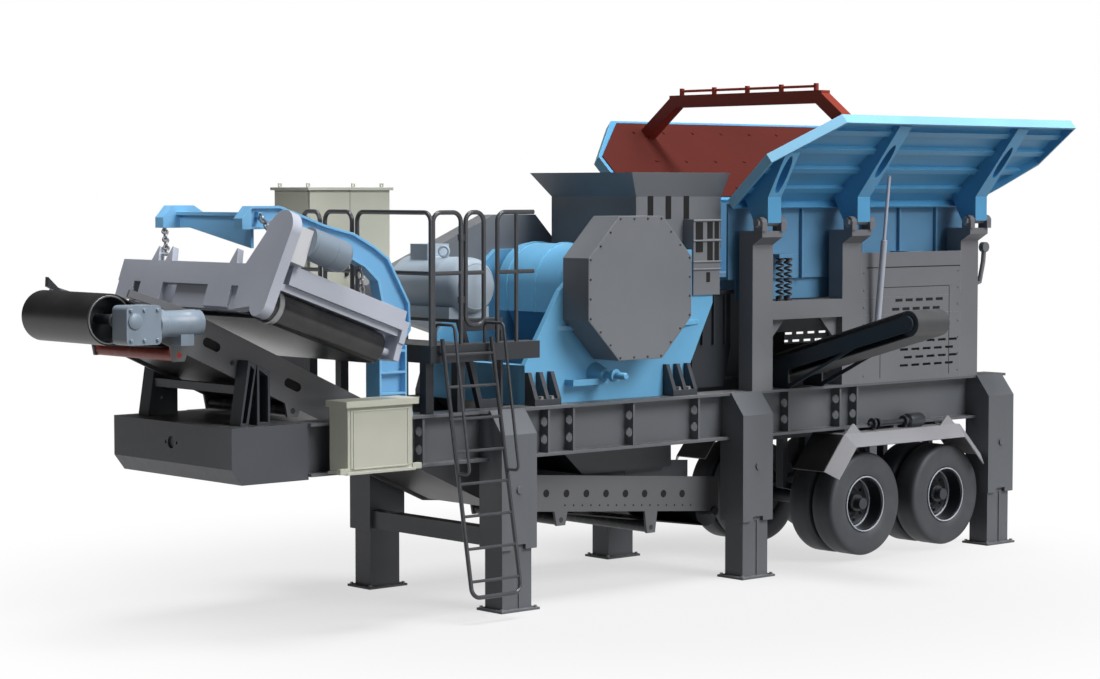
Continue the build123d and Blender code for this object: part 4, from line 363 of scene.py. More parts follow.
FINISH_OF = {
    "chassis": ["chassis_beams", "chassis_cross_members", "leg_casings", "leg_rams"],
    "nose": ["front_box"],
    "slate": ["conveyor_posts", "crusher_feet", "motor_base", "running_gear", "feeder_springs"],
    # The drums take this dark finish as painted shade of their hollow ends.
    "shadow": ["discharge_spout", "platform", "conveyor_drums", "side_conveyor_drums"],
    "rim": ["near_front_rims", "near_rear_rims", "far_front_rims", "far_rear_rims"],
    "guard": ["flywheel_guard", "belt_guard", "inlet_chute"],
    "navy": ["side_conveyor_frame"],
    "plate": ["conveyor_side_plates"],
    "panel": ["hopper_posts", "side_panels"],
    "fender": ["fenders"],
    "magnet": ["magnet_frame", "wing_cylinders"],
    "sky": ["crusher_frame", "swing_jaw"],
    "arm": ["jib"],
    "wing": ["hopper_wings"],
    "trough": ["feeder_trough"],
    "beige": ["cabinet_body", "cabinet_door", "small_box"],
    "liner": ["hopper_liners", "hopper_rear_wall"],
    "primer": ["arch"],
    "enamel": ["gear_motor", "magnet_motor"],
    "main_motor": ["motor"],
    "tube": ["railings", "ladder", "ladder_gate"],
    "roller": ["return_rollers"],
    "belt": ["conveyor_belt"],
    "oiled": ["magnet_belt"],
    "worn": ["side_conveyor_belt"],
    "tyre": ["near_front_tyres", "near_rear_tyres", "far_front_tyres", "far_rear_tyres"],
    "steel": ["magnet_chains"],
}
FINISHES = {}


def grid_faces(rows, cols, wrap_u, wrap_v, start):
    """Quads of a grid of rows by cols points, closed along a parameter where wrapped, facing columns cross rows."""
    i = np.arange(rows if wrap_u else rows - 1)
    j = np.arange(cols if wrap_v else cols - 1)
    a, b = np.meshgrid(i, j, indexing="ij")
    c, d = (a + 1) % rows, (b + 1) % cols
    quads = np.stack([a * cols + b, a * cols + d, c * cols + d, c * cols + b], -1)
    return quads.reshape(-1, 4) + start


def close_poles(mesh):
    """Merges the points of poles and seams, so that every grid is one closed skin."""
    work = bmesh.new()
    work.from_mesh(mesh)
    bmesh.ops.remove_doubles(work, verts=work.verts, dist=1e-6)
    bmesh.ops.dissolve_degenerate(work, edges=work.edges, dist=1e-7)
    work.to_mesh(mesh)
    work.free()


def grid_object(name, grids, finish=None, body="plant", smooth=False):
    """One mesh from several point grids in drawing metres, each (points[u, v, 3], wrap u, wrap v)."""
    points, faces, start = [], [], 0
    for grid, wrap_u, wrap_v in grids:
        rows, cols = grid.shape[:2]
        points.append(at(grid.reshape(-1, 3)))
        faces.append(grid_faces(rows, cols, wrap_u, wrap_v, start))
        start += rows * cols
    mesh = bpy.data.meshes.new(name)
    mesh.from_pydata(np.concatenate(points).tolist(), [], np.concatenate(faces).tolist())
    close_poles(mesh)
    mesh.shade_smooth() if smooth else mesh.shade_flat()
    if smooth:
        mesh.set_sharp_from_angle(angle=SHARP)
    made = bpy.data.objects.new(name, mesh)
    bpy.context.scene.collection.objects.link(made)
    if finish:
        mesh.materials.append(FINISHES[finish])
    if body:
        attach(made, body)
    return made


def basis(axis):
    """Two unit vectors square to the axis, then the axis itself, as rows."""
    w = np.asarray(axis, float)
    w = w / np.linalg.norm(w)
    u = np.cross(UP if abs(w[2]) < 0.9 else EAST, w)
    u = u / np.linalg.norm(u)
    return np.stack([u, np.cross(w, u), w])


def lathe(profile, centre, axis, steps=48, closed=False):
    """Ring surface: each (radius, height) of the profile turned a full circle about the axis."""
    radius, height = np.asarray(profile, float).T
    turn = np.arange(steps) * 2 * np.pi / steps
    u, v, w = basis(axis)
    spoke = np.cos(turn)[None, :, None] * u + np.sin(turn)[None, :, None] * v
    points = np.asarray(centre, float) + radius[:, None, None] * spoke + height[:, None, None] * w
    return points, closed, True


def circle(radius, steps=12):
    """Round section."""
    turn = np.arange(steps) * 2 * np.pi / steps
    return np.stack([radius * np.cos(turn), radius * np.sin(turn)], -1)


def ring(radius, wire, centre, axis, steps=36):
    """Torus: a small circle turned about the axis at a radius."""
    return lathe(circle(wire, 10) + [radius, 0], centre, axis, steps, closed=True)


def sweep(section, path):
    """A closed section of (side, up) offsets carried along a path, held square to it without twisting."""
    path = np.asarray(path, float)
    ahead = np.roll(path, -1, 0) - np.roll(path, 1, 0)
    ahead[0], ahead[-1] = path[1] - path[0], path[-1] - path[-2]
    ahead = ahead / np.linalg.norm(ahead, axis=1, keepdims=True)
    up = UP if abs(ahead[:, 2]).max() < 0.95 else np.array([0.31, 0.95, 0.05])
    side = np.cross(ahead, up)
    side = side / np.linalg.norm(side, axis=1, keepdims=True)
    over = np.cross(side, ahead)
    section = np.asarray(section, float)[::-1]
    points = path[:, None] + section[None, :, :1] * side[:, None] + section[None, :, 1:] * over[:, None]
    return capped((points, False, True))


def capped(grid):
    """A grid of rings whose two end rings also shrink to their middles, so that its ends are shut."""
    points, wrap_u, wrap_v = grid
    first = np.repeat(points[:1].mean(1, keepdims=True), points.shape[1], 1)
    last = np.repeat(points[-1:].mean(1, keepdims=True), points.shape[1], 1)
    return np.concatenate([first, points, last]), wrap_u, wrap_v


def slab(outline, origin, across, up, thick):
    """Flat plate: an outline in its own plane, counter-clockwise, carried through its thickness, ends shut."""
    outline = np.asarray(outline, float)
    across, up = np.asarray(across, float), np.asarray(up, float)
    face = np.asarray(origin, float) + outline[:, :1] * across + outline[:, 1:] * up
    return capped((np.stack([face, face + np.cross(across, up) * thick]), False, True))


def upright(outline, spot, thick):
    """Plate standing along the plant: an (x, z) outline at a spot, thick toward the ladder side."""
    return slab(outline, spot, EAST, UP, thick)


def pair(outline, spot, thick):
    """Upright plates on both sides of the plant, thick outward from the spot's y."""
    x, y, z = spot
    return [upright(outline, (x, -y, z), thick), upright(outline, (x, y + thick, z), thick)]


def crosswise(outline, half, y=0.0):
    """An (x, z) outline carried across the plant by half to each side of y."""
    return upright(outline, (0, y + half, 0), 2 * half)


def rectangle(left, right, low, high):
    """Rectangle outline between its sides."""
    return [(left, low), (right, low), (right, high), (left, high)]


def oblong(wide, tall):
    """Rectangle outline centred on its origin."""
    return rectangle(-wide / 2, wide / 2, -tall / 2, tall / 2)


def disc(radius, low, high):
    """Profile of a plain disc between two heights."""
    return [(0, low), (radius, low), (radius, high), (0, high)]


def hex_head(across, tall):
    """Bolt head on a washer: rings of twelve points, round at the washer and six-sided above."""
    turn = np.arange(12) * np.pi / 6
    six = across / 2 / np.cos((turn + np.pi / 6) % (np.pi / 3) - np.pi / 6)
    washer = np.full(12, across * 0.72)
    rings = [(washer * 0, 0), (washer, 0), (washer, 0.18), (six, 0.18), (six, 0.85), (six * 0.86, 1.0), (six * 0, 1.0)]
    return np.stack([np.stack([r * np.cos(turn), r * np.sin(turn), np.full(12, h * tall)], -1) for r, h in rings])


def bolts(spots, axis, across, tall):
    """Hex heads standing on these spots along one axis, one grid each."""
    head = hex_head(across, tall) @ basis(axis)
    return [(head + spot, False, True) for spot in np.asarray(spots, float)]


def along(a, b, count):
    """Evenly spaced points from a to b, both included."""
    share = np.linspace(0, 1, count)[:, None]
    return np.asarray(a, float) * (1 - share) + np.asarray(b, float) * share


def side_bolts(spots, across, tall):
    """Hex heads on the far side's spots and, facing the other way, on their mirror images on the near side."""
    spots = np.asarray(spots, float)
    return bolts(spots * [1, -1, 1], NEAR, across, tall) + bolts(spots, -NEAR, across, tall)


def guard_outline(inset):
    """Eight-sided outline of the flywheel guard's face, drawn in by inset, counter-clockwise."""
    wide, tall = GUARD_HALF[0] - inset, GUARD_HALF[1] - inset
    cut = GUARD_CHAMFER - inset * math.tan(math.pi / 8)
    return np.array([(cut - wide, -tall), (wide - cut, -tall), (wide, cut - tall), (wide, tall - cut),
                     (wide - cut, tall), (cut - wide, tall), (-wide, tall - cut), (-wide, cut - tall)])


def on_incline(run, up, y):
    """Place on the main conveyor: a run down the incline from the head and a height square to it."""
    slope = math.atan2(HEAD[1] - BEND[1], BEND[0] - HEAD[0])
    return np.array([HEAD[0] + run * math.cos(slope) + up * math.sin(slope), y,
                     HEAD[1] - run * math.sin(slope) + up * math.cos(slope)])


def on_magnet(u, y, w):
    """Place on the magnet: u down its slope, y across it from its middle and w square to it."""
    return np.array([MAGNET[0] + u * math.cos(MAGNET_TILT) + w * math.sin(MAGNET_TILT), MAGNET[1] + y,
                     MAGNET[2] - u * math.sin(MAGNET_TILT) + w * math.cos(MAGNET_TILT)])


def incline_axes():
    """Unit steps down the main conveyor's incline and square to it."""
    return on_incline(1, 0, 0) - on_incline(0, 0, 0), on_incline(0, 1, 0) - on_incline(0, 0, 0)


def magnet_axes():
    """Unit steps down the magnet's slope and square to it."""
    return on_magnet(1, 0, 0) - on_magnet(0, 0, 0), on_magnet(0, 0, 1) - on_magnet(0, 0, 0)


def on_wing(x, s, side, lift=0.0):
    """Place on a hopper wing: a station x, a distance s up its slope and a lift off it, on side -1 or 1."""
    y = WING_LOW[0] + s * math.cos(WING_SLOPE) - lift * math.sin(WING_SLOPE)
    return np.array([x, side * y, WING_LOW[1] + s * math.sin(WING_SLOPE) + lift * math.cos(WING_SLOPE)])


def coil(radius, wire, turns, low, high, x, y):
    """Helix: the angle runs through all the turns while the height climbs, and a round wire follows it."""
    share = np.linspace(0, 1, turns * 18 + 1)
    turn = share * turns * 2 * np.pi
    path = np.stack([x + radius * np.cos(turn), y + radius * np.sin(turn),
                     low + wire + (high - low - 2 * wire) * share], -1)
    return sweep(circle(wire, 8), path)


def tyre_section(bore, tread, half):
    """Closed tyre section of (radius, height): beads, flat walls, round shoulders and a plain tread at set shares."""
    wall = [(0.0, 0.62), (0.05, 0.82), (0.14, 0.95), (0.40, 1.0), (0.74, 1.0), (0.89, 0.97), (0.96, 0.88), (1.0, 0.74)]
    upper = np.array(wall + [(1.0, 0.3)])
    shares = np.concatenate([upper * [1, -1], upper[::-1]])
    return np.stack([bore + (tread - bore) * shares[:, 0], half * shares[:, 1]], -1)


def folded(line, inner, outer, lip_out, lip_down, side):
    """Folded mudguard sheet: an (x, z) line carried across from inner to outer and then down a slanted lip.

    The lip follows the same line moved in square to it, with mitred corners.
    """
    line = np.asarray(line, float)
    step = np.diff(line, axis=0)
    step = step / np.linalg.norm(step, axis=1, keepdims=True)
    square = np.stack([step[:, 1], -step[:, 0]], -1)
    corner = np.concatenate([square[:1], square[:-1] + square[1:], square[-1:]])
    partner = np.concatenate([square[:1], square[1:], square[-1:]])
    corner = corner / (corner * partner).sum(1, keepdims=True)
    low = line + corner * lip_down
    rows = [(inner, line), (outer, line), (outer + lip_out, low)]
    points = np.stack([np.stack([p[:, 0], np.full(len(p), side * y), p[:, 1]], -1) for y, p in rows], 1)
    return (points if side > 0 else points[:, ::-1]), False, False


class CRUSHER_OT_finishes(bpy.types.Operator):
    """Paint, rubber and steel on every solid of the frame"""

    bl_idname = "crusher.finishes"
    bl_label = "Finish the solids"

    def execute(self, context):
        FINISHES.update(build_finishes(context.scene.crusher_colours))
        for name, solids in FINISH_OF.items():
            for solid in solids:
                mesh = NODES[solid].data
                mesh.materials.clear()
                mesh.materials.append(FINISHES[name])
        return {"FINISHED"}


class CRUSHER_OT_tyres(bpy.types.Operator):
    """Moulded tyres with flat walls, round shoulders and a plain tread"""

    bl_idname = "crusher.tyres"
    bl_label = "Mould the tyres"
    width = 0.290
    gap = 0.040
    bore = 0.275
    steps = 72

    def execute(self, context):
        for side in ("near", "far"):
            for end in ("front", "rear"):
                solid = f"{side}_{end}_tyres"
                low, high = (np.array(c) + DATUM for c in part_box(solid))
                middle = (low + high) / 2
                section = tyre_section(self.bore, (high[0] - low[0]) / 2, self.width / 2)
                step = np.array([0.0, (self.width + self.gap) / 2, 0.0])
                grids = [lathe(section, middle + way * step, (0, 1, 0), self.steps, closed=True) for way in (-1, 1)]
                made = grid_object(f"{side}_{end}_moulded_tyres", grids, "tyre", f"{side}_{end}_wheels", smooth=True)
                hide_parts(solid)
        return {"FINISHED"}


class CRUSHER_OT_rims(bpy.types.Operator):
    """Deep dished rims with a hub, and on every wheel end pale rings of painted highlight on the flange and the disc
    edge
    """

    bl_idname = "crusher.rims"
    bl_label = "Turn the rims"
    section = ((0, -0.60), (0.270, -0.60), (0.291, -0.56), (0.291, -0.034), (0.295, -0.022), (0.295, -0.014),
               (0.286, -0.012), (0.271, -0.030), (0.264, -0.190), (0.240, -0.214), (0.156, -0.226), (0.140, -0.205),
               (0.105, -0.200), (0.098, -0.130), (0.088, -0.118), (0.054, -0.118), (0.050, -0.148), (0, -0.148))
    # Radius, wire radius and depth of the pale rings of painted highlight.
    edges = ((0.286, 0.008, 0.012), (0.258, 0.010, 0.188))
    steps = 64
    studs = 10
    stud_r = 0.195
    stud_depth = 0.222
    nut_tall = 0.024

    def execute(self, context):
        size = context.scene.crusher_fittings
        turn = np.arange(self.studs) * 2 * np.pi / self.studs
        for side, way in (("near", -1.0), ("far", 1.0)):
            for end in ("front", "rear"):
                low, high = (np.array(c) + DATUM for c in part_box(f"{side}_{end}_tyres"))
                middle = (low + high) / 2
                outer = np.array([middle[0], high[1] if way > 0 else low[1], middle[2]])
                axis = np.array([0.0, way, 0.0])
                body = f"{side}_{end}_wheels"
                dish = lathe(self.section, outer, axis, self.steps)
                rim = grid_object(f"{side}_{end}_dished_rims", [dish], "rim", body, smooth=True)
                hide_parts(f"{side}_{end}_rims")
                # Pale rings of painted highlight on the flange and disc edge, in the magnet's pale grey.
                grids = [ring(radius, wire, outer - axis * depth, axis, self.steps)
                         for radius, wire, depth in self.edges]
                grid_object(f"{side}_{end}_rim_edges", grids, "magnet", body, smooth=True)
                spots = outer - axis * self.stud_depth + self.stud_r * np.stack(
                    [np.cos(turn), 0 * turn, np.sin(turn)], -1)
                grids = bolts(spots, axis, size.nut_across, self.nut_tall)
                grid_object(f"{side}_{end}_wheel_nuts", grids, "rim", body)
        return {"FINISHED"}


class CRUSHER_OT_mudguards(bpy.types.Operator):
    """Folded mudguards with slanted lips, lugs, hangers and dark sheets of belt rubber on the front slopes, and the
    brake chamber on each
    """

    bl_idname = "crusher.mudguards"
    bl_label = "Fold the mudguards"
    line = ((4.395, 0.985), (4.700, 1.350), (6.545, 1.350), (6.900, 1.000))
    top = line[1][1]
    inner = 0.650
    outer = 1.085
    lip_out = 0.115
    lip_down = 0.125
    sheet = 0.012
    lug = ((-0.135, 0.0), (0.135, 0.0), (0.012, 0.112), (-0.012, 0.112))
    lug_x = (4.835, 6.355)
    lug_thick = 0.016
    lug_sink = 0.002
    hanger = (0.24, 0.05)
    hanger_x = (4.95, 5.72, 6.40)
    hanger_y = 0.80
    hanger_z = 1.372
    hanger_long = 0.06
    flap = 0.018
    front_sheet_inset = 0.005
    chamber = ((0, 0), (0.020, 0), (0.020, 0.05), (0.058, 0.05), (0.058, 0.075), (0.018, 0.075), (0.018, 0.13),
               (0.052, 0.13), (0.052, 0.15), (0.024, 0.15), (0.024, 0.55), (0.060, 0.55), (0.060, 0.57), (0.044, 0.57),
               (0.044, 0.60), (0.074, 0.62), (0.080, 0.66), (0.080, 0.80), (0.068, 0.84), (0, 0.84))
    chamber_x = 5.20
    chamber_y = 0.97
    chamber_up = 0.082
    saddle = (0.03, 0.08)
    saddle_x = (5.26, 5.78)
    saddle_up = 0.038
    saddle_thick = 0.02

    def execute(self, context):
        sheets = [folded(self.line, self.inner, self.outer, self.lip_out, self.lip_down, side) for side in (-1, 1)]
        made = grid_object("folded_mudguards", sheets, "fender")
        wall = made.modifiers.new("sheet", "SOLIDIFY")
        wall.thickness = self.sheet
        wall.offset = -1.0
        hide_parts("fenders")
        self.lugs()
        self.flaps()
        self.chambers()
        return {"FINISHED"}

    def lugs(self):
        """Pointed lugs on the outer edges and hangers under the beams."""
        grids = []
        for x in self.lug_x:
            grids += pair(self.lug, (x, self.outer - self.lug_thick, self.top - self.lug_sink), self.lug_thick)
        for y in (-self.hanger_y, self.hanger_y):
            grids += [slab(oblong(*self.hanger), (x, y, self.hanger_z), NEAR, UP, self.hanger_long)
                      for x in self.hanger_x]
        grid_object("mudguard_lugs", grids, "fender")

    def flaps(self):
        """Dark sheets of belt rubber over the front slopes."""
        (x0, z0), (x1, z1) = self.line[:2]
        rise = np.array([x1 - x0, 0.0, z1 - z0])
        tall = np.linalg.norm(rise)
        low, high = self.inner + self.front_sheet_inset, self.outer - self.front_sheet_inset
        grids = [slab(rectangle(a, b, 0, tall - 2 * self.front_sheet_inset), (x0, 0, z0), NEAR, rise / tall, self.flap)
                 for a, b in ((low, high), (-high, -low))]
        grid_object("mudguard_flaps", grids, "belt")

    def chambers(self):
        """Turned brake chambers lying along the mudguards, each on two saddles."""
        grids = []
        for y in (-self.chamber_y, self.chamber_y):
            grids.append(lathe(self.chamber, (self.chamber_x, y, self.top + self.chamber_up), EAST, 28))
            grids += [upright(oblong(*self.saddle), (x, y, self.top + self.saddle_up), self.saddle_thick)
                      for x in self.saddle_x]
        grid_object("brake_chambers", grids, "slate", smooth=True)


class CRUSHER_OT_springs(bpy.types.Operator):
    """Coil springs under the feeder in pairs, each between two cups"""

    bl_idname = "crusher.springs"
    bl_label = "Wind the springs"
    stations = (4.000, 5.980)
    half_gap = 0.059
    y = 0.870
    radius = 0.035
    cup = ((0, 0), (0.045, 0), (0.045, 0.014), (0.022, 0.020), (0.022, 0.05), (0, 0.05))

    def execute(self, context):
        size = context.scene.crusher_fittings
        low, high = (c[2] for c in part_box("feeder_springs"))
        grids = []
        for station in self.stations:
            for x in (station - self.half_gap, station + self.half_gap):
                for y in (-self.y, self.y):
                    grids.append(coil(self.radius, size.coil_wire, size.coil_turns, low, high, x, y))
                    grids.append(lathe(self.cup, (x, y, low), UP, 20))
                    grids.append(lathe(self.cup, (x, y, high), -UP, 20))
        made = grid_object("feeder_coil_springs", grids, "slate", smooth=True)
        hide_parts("feeder_springs")
        return {"FINISHED"}


class CRUSHER_OT_bolts(bpy.types.Operator):
    """Hex bolts and nuts on feet, pivots, guard, panels, conveyor, jib foot, crusher feet, gearbox and liners"""

    bl_idname = "crusher.bolts"
    bl_label = "Set the bolts"
    anchor_z = 0.022
    anchor_share = 0.6
    pivot_y = 1.060
    pivot_z = 3.560
    pivot_half = 0.1725
    pivot_tall = 0.034
    # A head's share is its width and height against the plain bolt.
    guard_inset = 0.026
    guard_each = 3
    guard_share = (0.55, 0.50)
    panel_x = (5.12, 6.65)
    panel_z = (1.94, 3.02)
    panel_count = 7
    panel_share = (0.55, 0.45)
    plate_runs = (0.64, 0.72, 1.22, 1.30, 2.42, 2.50, 3.02, 3.10, 3.62, 3.70)
    plate_up = 0.11
    jib_x = (-1.265, -0.885)
    jib_y = (-0.845, -0.705)
    jib_z = 1.895
    jib_share = (1.4, 1.4)
    clamp_x = (0.690, 0.822, 2.500, 2.632)
    clamp_y = 0.865
    clamp_z = 1.925
    clamp_share = (1.6, 1.5)
    gearbox_x = (-3.855, -3.725, -3.595)
    gearbox_y = -0.918
    gearbox_z = (2.650, 2.900)
    gearbox_share = (0.9, 1.0)
    liner_x = np.linspace(4.15, 6.85, 7)
    liner_s = (0.18, 0.62, 1.10)
    liner_share = (1.0, 0.5)

    def execute(self, context):
        size = context.scene.crusher_fittings
        plain = np.array([size.bolt_across, size.bolt_tall])
        self.feet(size)
        self.pivots(size)
        grid_object("guard_bolts", bolts(self.guard_rim(), NEAR, *plain * self.guard_share), "shadow")
        low, high = self.panel_z
        spots = np.concatenate([along((x, BEAM_HALF, low), (x, BEAM_HALF, high), self.panel_count)
                                for x in self.panel_x])
        grid_object("panel_bolts", side_bolts(spots, *plain * self.panel_share), "panel")
        spots = [on_incline(run, self.plate_up, PLATE_OUTER) for run in self.plate_runs]
        grid_object("conveyor_bolts", side_bolts(spots, *plain), "shadow")
        foot = [(x, y, self.jib_z) for x in self.jib_x for y in self.jib_y]
        clamp = [(x, y, self.clamp_z) for x in self.clamp_x for y in (-self.clamp_y, self.clamp_y)]
        grids = bolts(foot, UP, *plain * self.jib_share) + bolts(clamp, UP, *plain * self.clamp_share)
        grid_object("hold_down_bolts", grids, "steel")
        spots = [(x, self.gearbox_y, z) for x in self.gearbox_x for z in self.gearbox_z]
        grid_object("gearbox_bolts", bolts(spots, NEAR, *plain * self.gearbox_share), "enamel")
        grids = []
        for side in (-1, 1):
            spots = [on_wing(x, s, side, LINER) for s in self.liner_s for x in self.liner_x]
            inward = (0, -side * math.sin(WING_SLOPE), math.cos(WING_SLOPE))
            grids += bolts(spots, inward, *plain * self.liner_share)
        grid_object("liner_bolts", grids, "liner")
        return {"FINISHED"}

    def guard_rim(self):
        """Spots along the guard's eight-sided rim, as many to each side."""
        corners = guard_outline(self.guard_inset)
        x, z = np.concatenate([along(a, b, self.guard_each + 1)[:-1]
                               for a, b in zip(corners, np.roll(corners, -1, 0))]).T
        return np.stack([GUARD_CENTRE[0] + x, np.full(len(x), GUARD_Y - GUARD_PROUD), GUARD_CENTRE[1] + z], -1)

    def feet(self, size):
        """Anchor nuts at the corners of the six foot plates."""
        spots = [(x + i * FOOT_HALF[0], y + j * FOOT_HALF[1], self.anchor_z)
                 for x in LEG_X for y in (-LEG_Y, LEG_Y) for i in (-1, 1) for j in (-1, 1)]
        grids = bolts(spots, UP, size.anchor_across, size.anchor_across * self.anchor_share)
        grid_object("anchor_nuts", grids, "steel")

    def pivots(self, size):
        """Nuts on both ends of every wing pivot."""
        grids = []
        for x in POST_X:
            for y in (-self.pivot_y, self.pivot_y):
                for way in (-1, 1):
                    spot = (x + POST_LENGTH / 2 + way * self.pivot_half, y, self.pivot_z)
                    grids += bolts([spot], way * EAST, size.pin_across, self.pivot_tall)
        grid_object("pivot_nuts", grids, "steel")


class CRUSHER_OT_motors(bpy.types.Operator):
    """Smooth motor shells with round ends, collars and a lifting eye"""

    bl_idname = "crusher.motors"
    bl_label = "Dress the motors"
    main_shell = ((0, 0), (0.268, 0), (0.268, 0.30), (0.268, 0.62), (0.270, 0.625), (0.270, 0.645), (0.268, 0.65),
                  (0.268, 0.84), (0.262, 0.88), (0.246, 0.915), (0.222, 0.942), (0.190, 0.958), (0.10, 0.965),
                  (0, 0.966))
    main_spot = (0.05, 0.262, 3.0)
    eye_r = 0.046
    eye_wire = 0.013
    eye_spot = (-0.02, -0.30, 3.318)
    eye_axis = (1.0, 0.8, 0.0)
    gear_shell = ((0, 0), (0.118, 0), (0.122, 0.006), (0.122, 0.034), (0.116, 0.042), (0.111, 0.060), (0.111, 0.290),
                  (0.1135, 0.295), (0.1135, 0.385), (0.108, 0.418), (0.092, 0.440), (0, 0.442))
    gear_spot = (-3.555, -0.808, 2.775)
    cap = ((0, 0.0), (0.066, 0.0), (0.066, 0.014), (0.052, 0.024), (0, 0.026))
    cap_y = -0.917
    band = ((0.130, 0), (0.143, 0.004), (0.143, 0.022), (0.130, 0.026))
    band_u = (-0.345, -0.130)
    band_y = -1.10
    band_up = 0.60

    def execute(self, context):
        grids = [lathe(self.main_shell, self.main_spot, NEAR, 72),
                 ring(self.eye_r, self.eye_wire, self.eye_spot, self.eye_axis, 28)]
        grid_object("main_motor_shell", grids, "main_motor", smooth=True)
        grids = [lathe(self.gear_shell, self.gear_spot, EAST, 48),
                 lathe(self.cap, (HEAD[0], self.cap_y, HEAD[1]), NEAR, 36)]
        grid_object("gear_motor_shell", grids, "enamel", smooth=True)
        axis, _ = magnet_axes()
        grids = [lathe(self.band, on_magnet(u, self.band_y, self.band_up), axis, 48, closed=True)
                 for u in self.band_u]
        grid_object("magnet_motor_bands", grids, "enamel", smooth=True)
        return {"FINISHED"}


class CRUSHER_OT_crusher_frame(bpy.types.Operator):
    """Crusher frame of cheeks and end walls round the swing jaw's barrel, with wedge ribs and the adjusting screw"""

    bl_idname = "crusher.crusher_frame"
    bl_label = "Plate the crusher"
    cheek = ((0.590, 1.865), (2.620, 1.865), (3.090, 2.763), (3.090, 3.300), (1.465, 3.300), (1.035, 2.940),
             (0.590, 2.240))
    front = ((2.490, 1.865), (2.620, 1.865), (3.090, 2.763), (3.090, 3.300), (2.960, 3.300), (2.960, 2.763))
    rear = rectangle(0.590, 0.720, 1.865, 2.240)
    outer = 0.750
    inner = 0.690
    ledge = rectangle(1.100, 1.550, 2.026, 2.086)
    ledge_deep = 0.120
    ribs = (((1.020, 0.0), (1.500, 0.0), (1.500, 0.130)), ((2.200, 0.130), (2.200, 0.0), (2.900, 0.0)))
    rib_z = 2.600
    rib_thick = 0.045
    barrel_low = 2.700
    barrel_r = 0.410
    barrel_half = 0.520
    band_r = 0.424
    band_half = 0.022
    band_y = (-0.40, -0.02, 0.40)
    screw = ((0, 0), (0.115, 0), (0.060, 0.150), (0.034, 0.150), (0.034, 0.250), (0.062, 0.250), (0.062, 0.300),
             (0.034, 0.300), (0.034, 0.425), (0.026, 0.440), (0, 0.440))
    screw_x = 1.490
    screw_z = 2.120

    def execute(self, context):
        grids = pair(self.cheek, (0, self.inner, 0), self.outer - self.inner)
        grids += [crosswise(wall, self.inner) for wall in (self.front, self.rear)]
        grids.append(upright(self.ledge, (0, -self.outer, 0), self.ledge_deep))
        grids += [slab(plan, (0, -self.outer, self.rib_z), EAST, NEAR, self.rib_thick) for plan in self.ribs]
        made = grid_object("crusher_plates", grids, "sky")
        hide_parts("crusher_frame")
        grids = [self.barrel(self.barrel_r, self.barrel_half, 0.0)]
        grids += [self.barrel(self.band_r, self.band_half, y) for y in self.band_y]
        grid_object("jaw_barrel", grids, "sky", smooth=True)
        screw = lathe(self.screw, (self.screw_x, -self.outer, self.screw_z), NEAR, 28)
        grid_object("adjusting_screw", [screw], "sky", smooth=True)
        return {"FINISHED"}

    def barrel(self, radius, half, y):
        """Half round about the shaft over a straight skirt, carried across by half to each side of y."""
        turn = np.linspace(0, np.pi, 41)
        x, z = GUARD_CENTRE
        arc = np.stack([x + radius * np.cos(turn), z + radius * np.sin(turn)], -1)
        return crosswise([(x - radius, self.barrel_low), (x + radius, self.barrel_low), *arc], half, y)


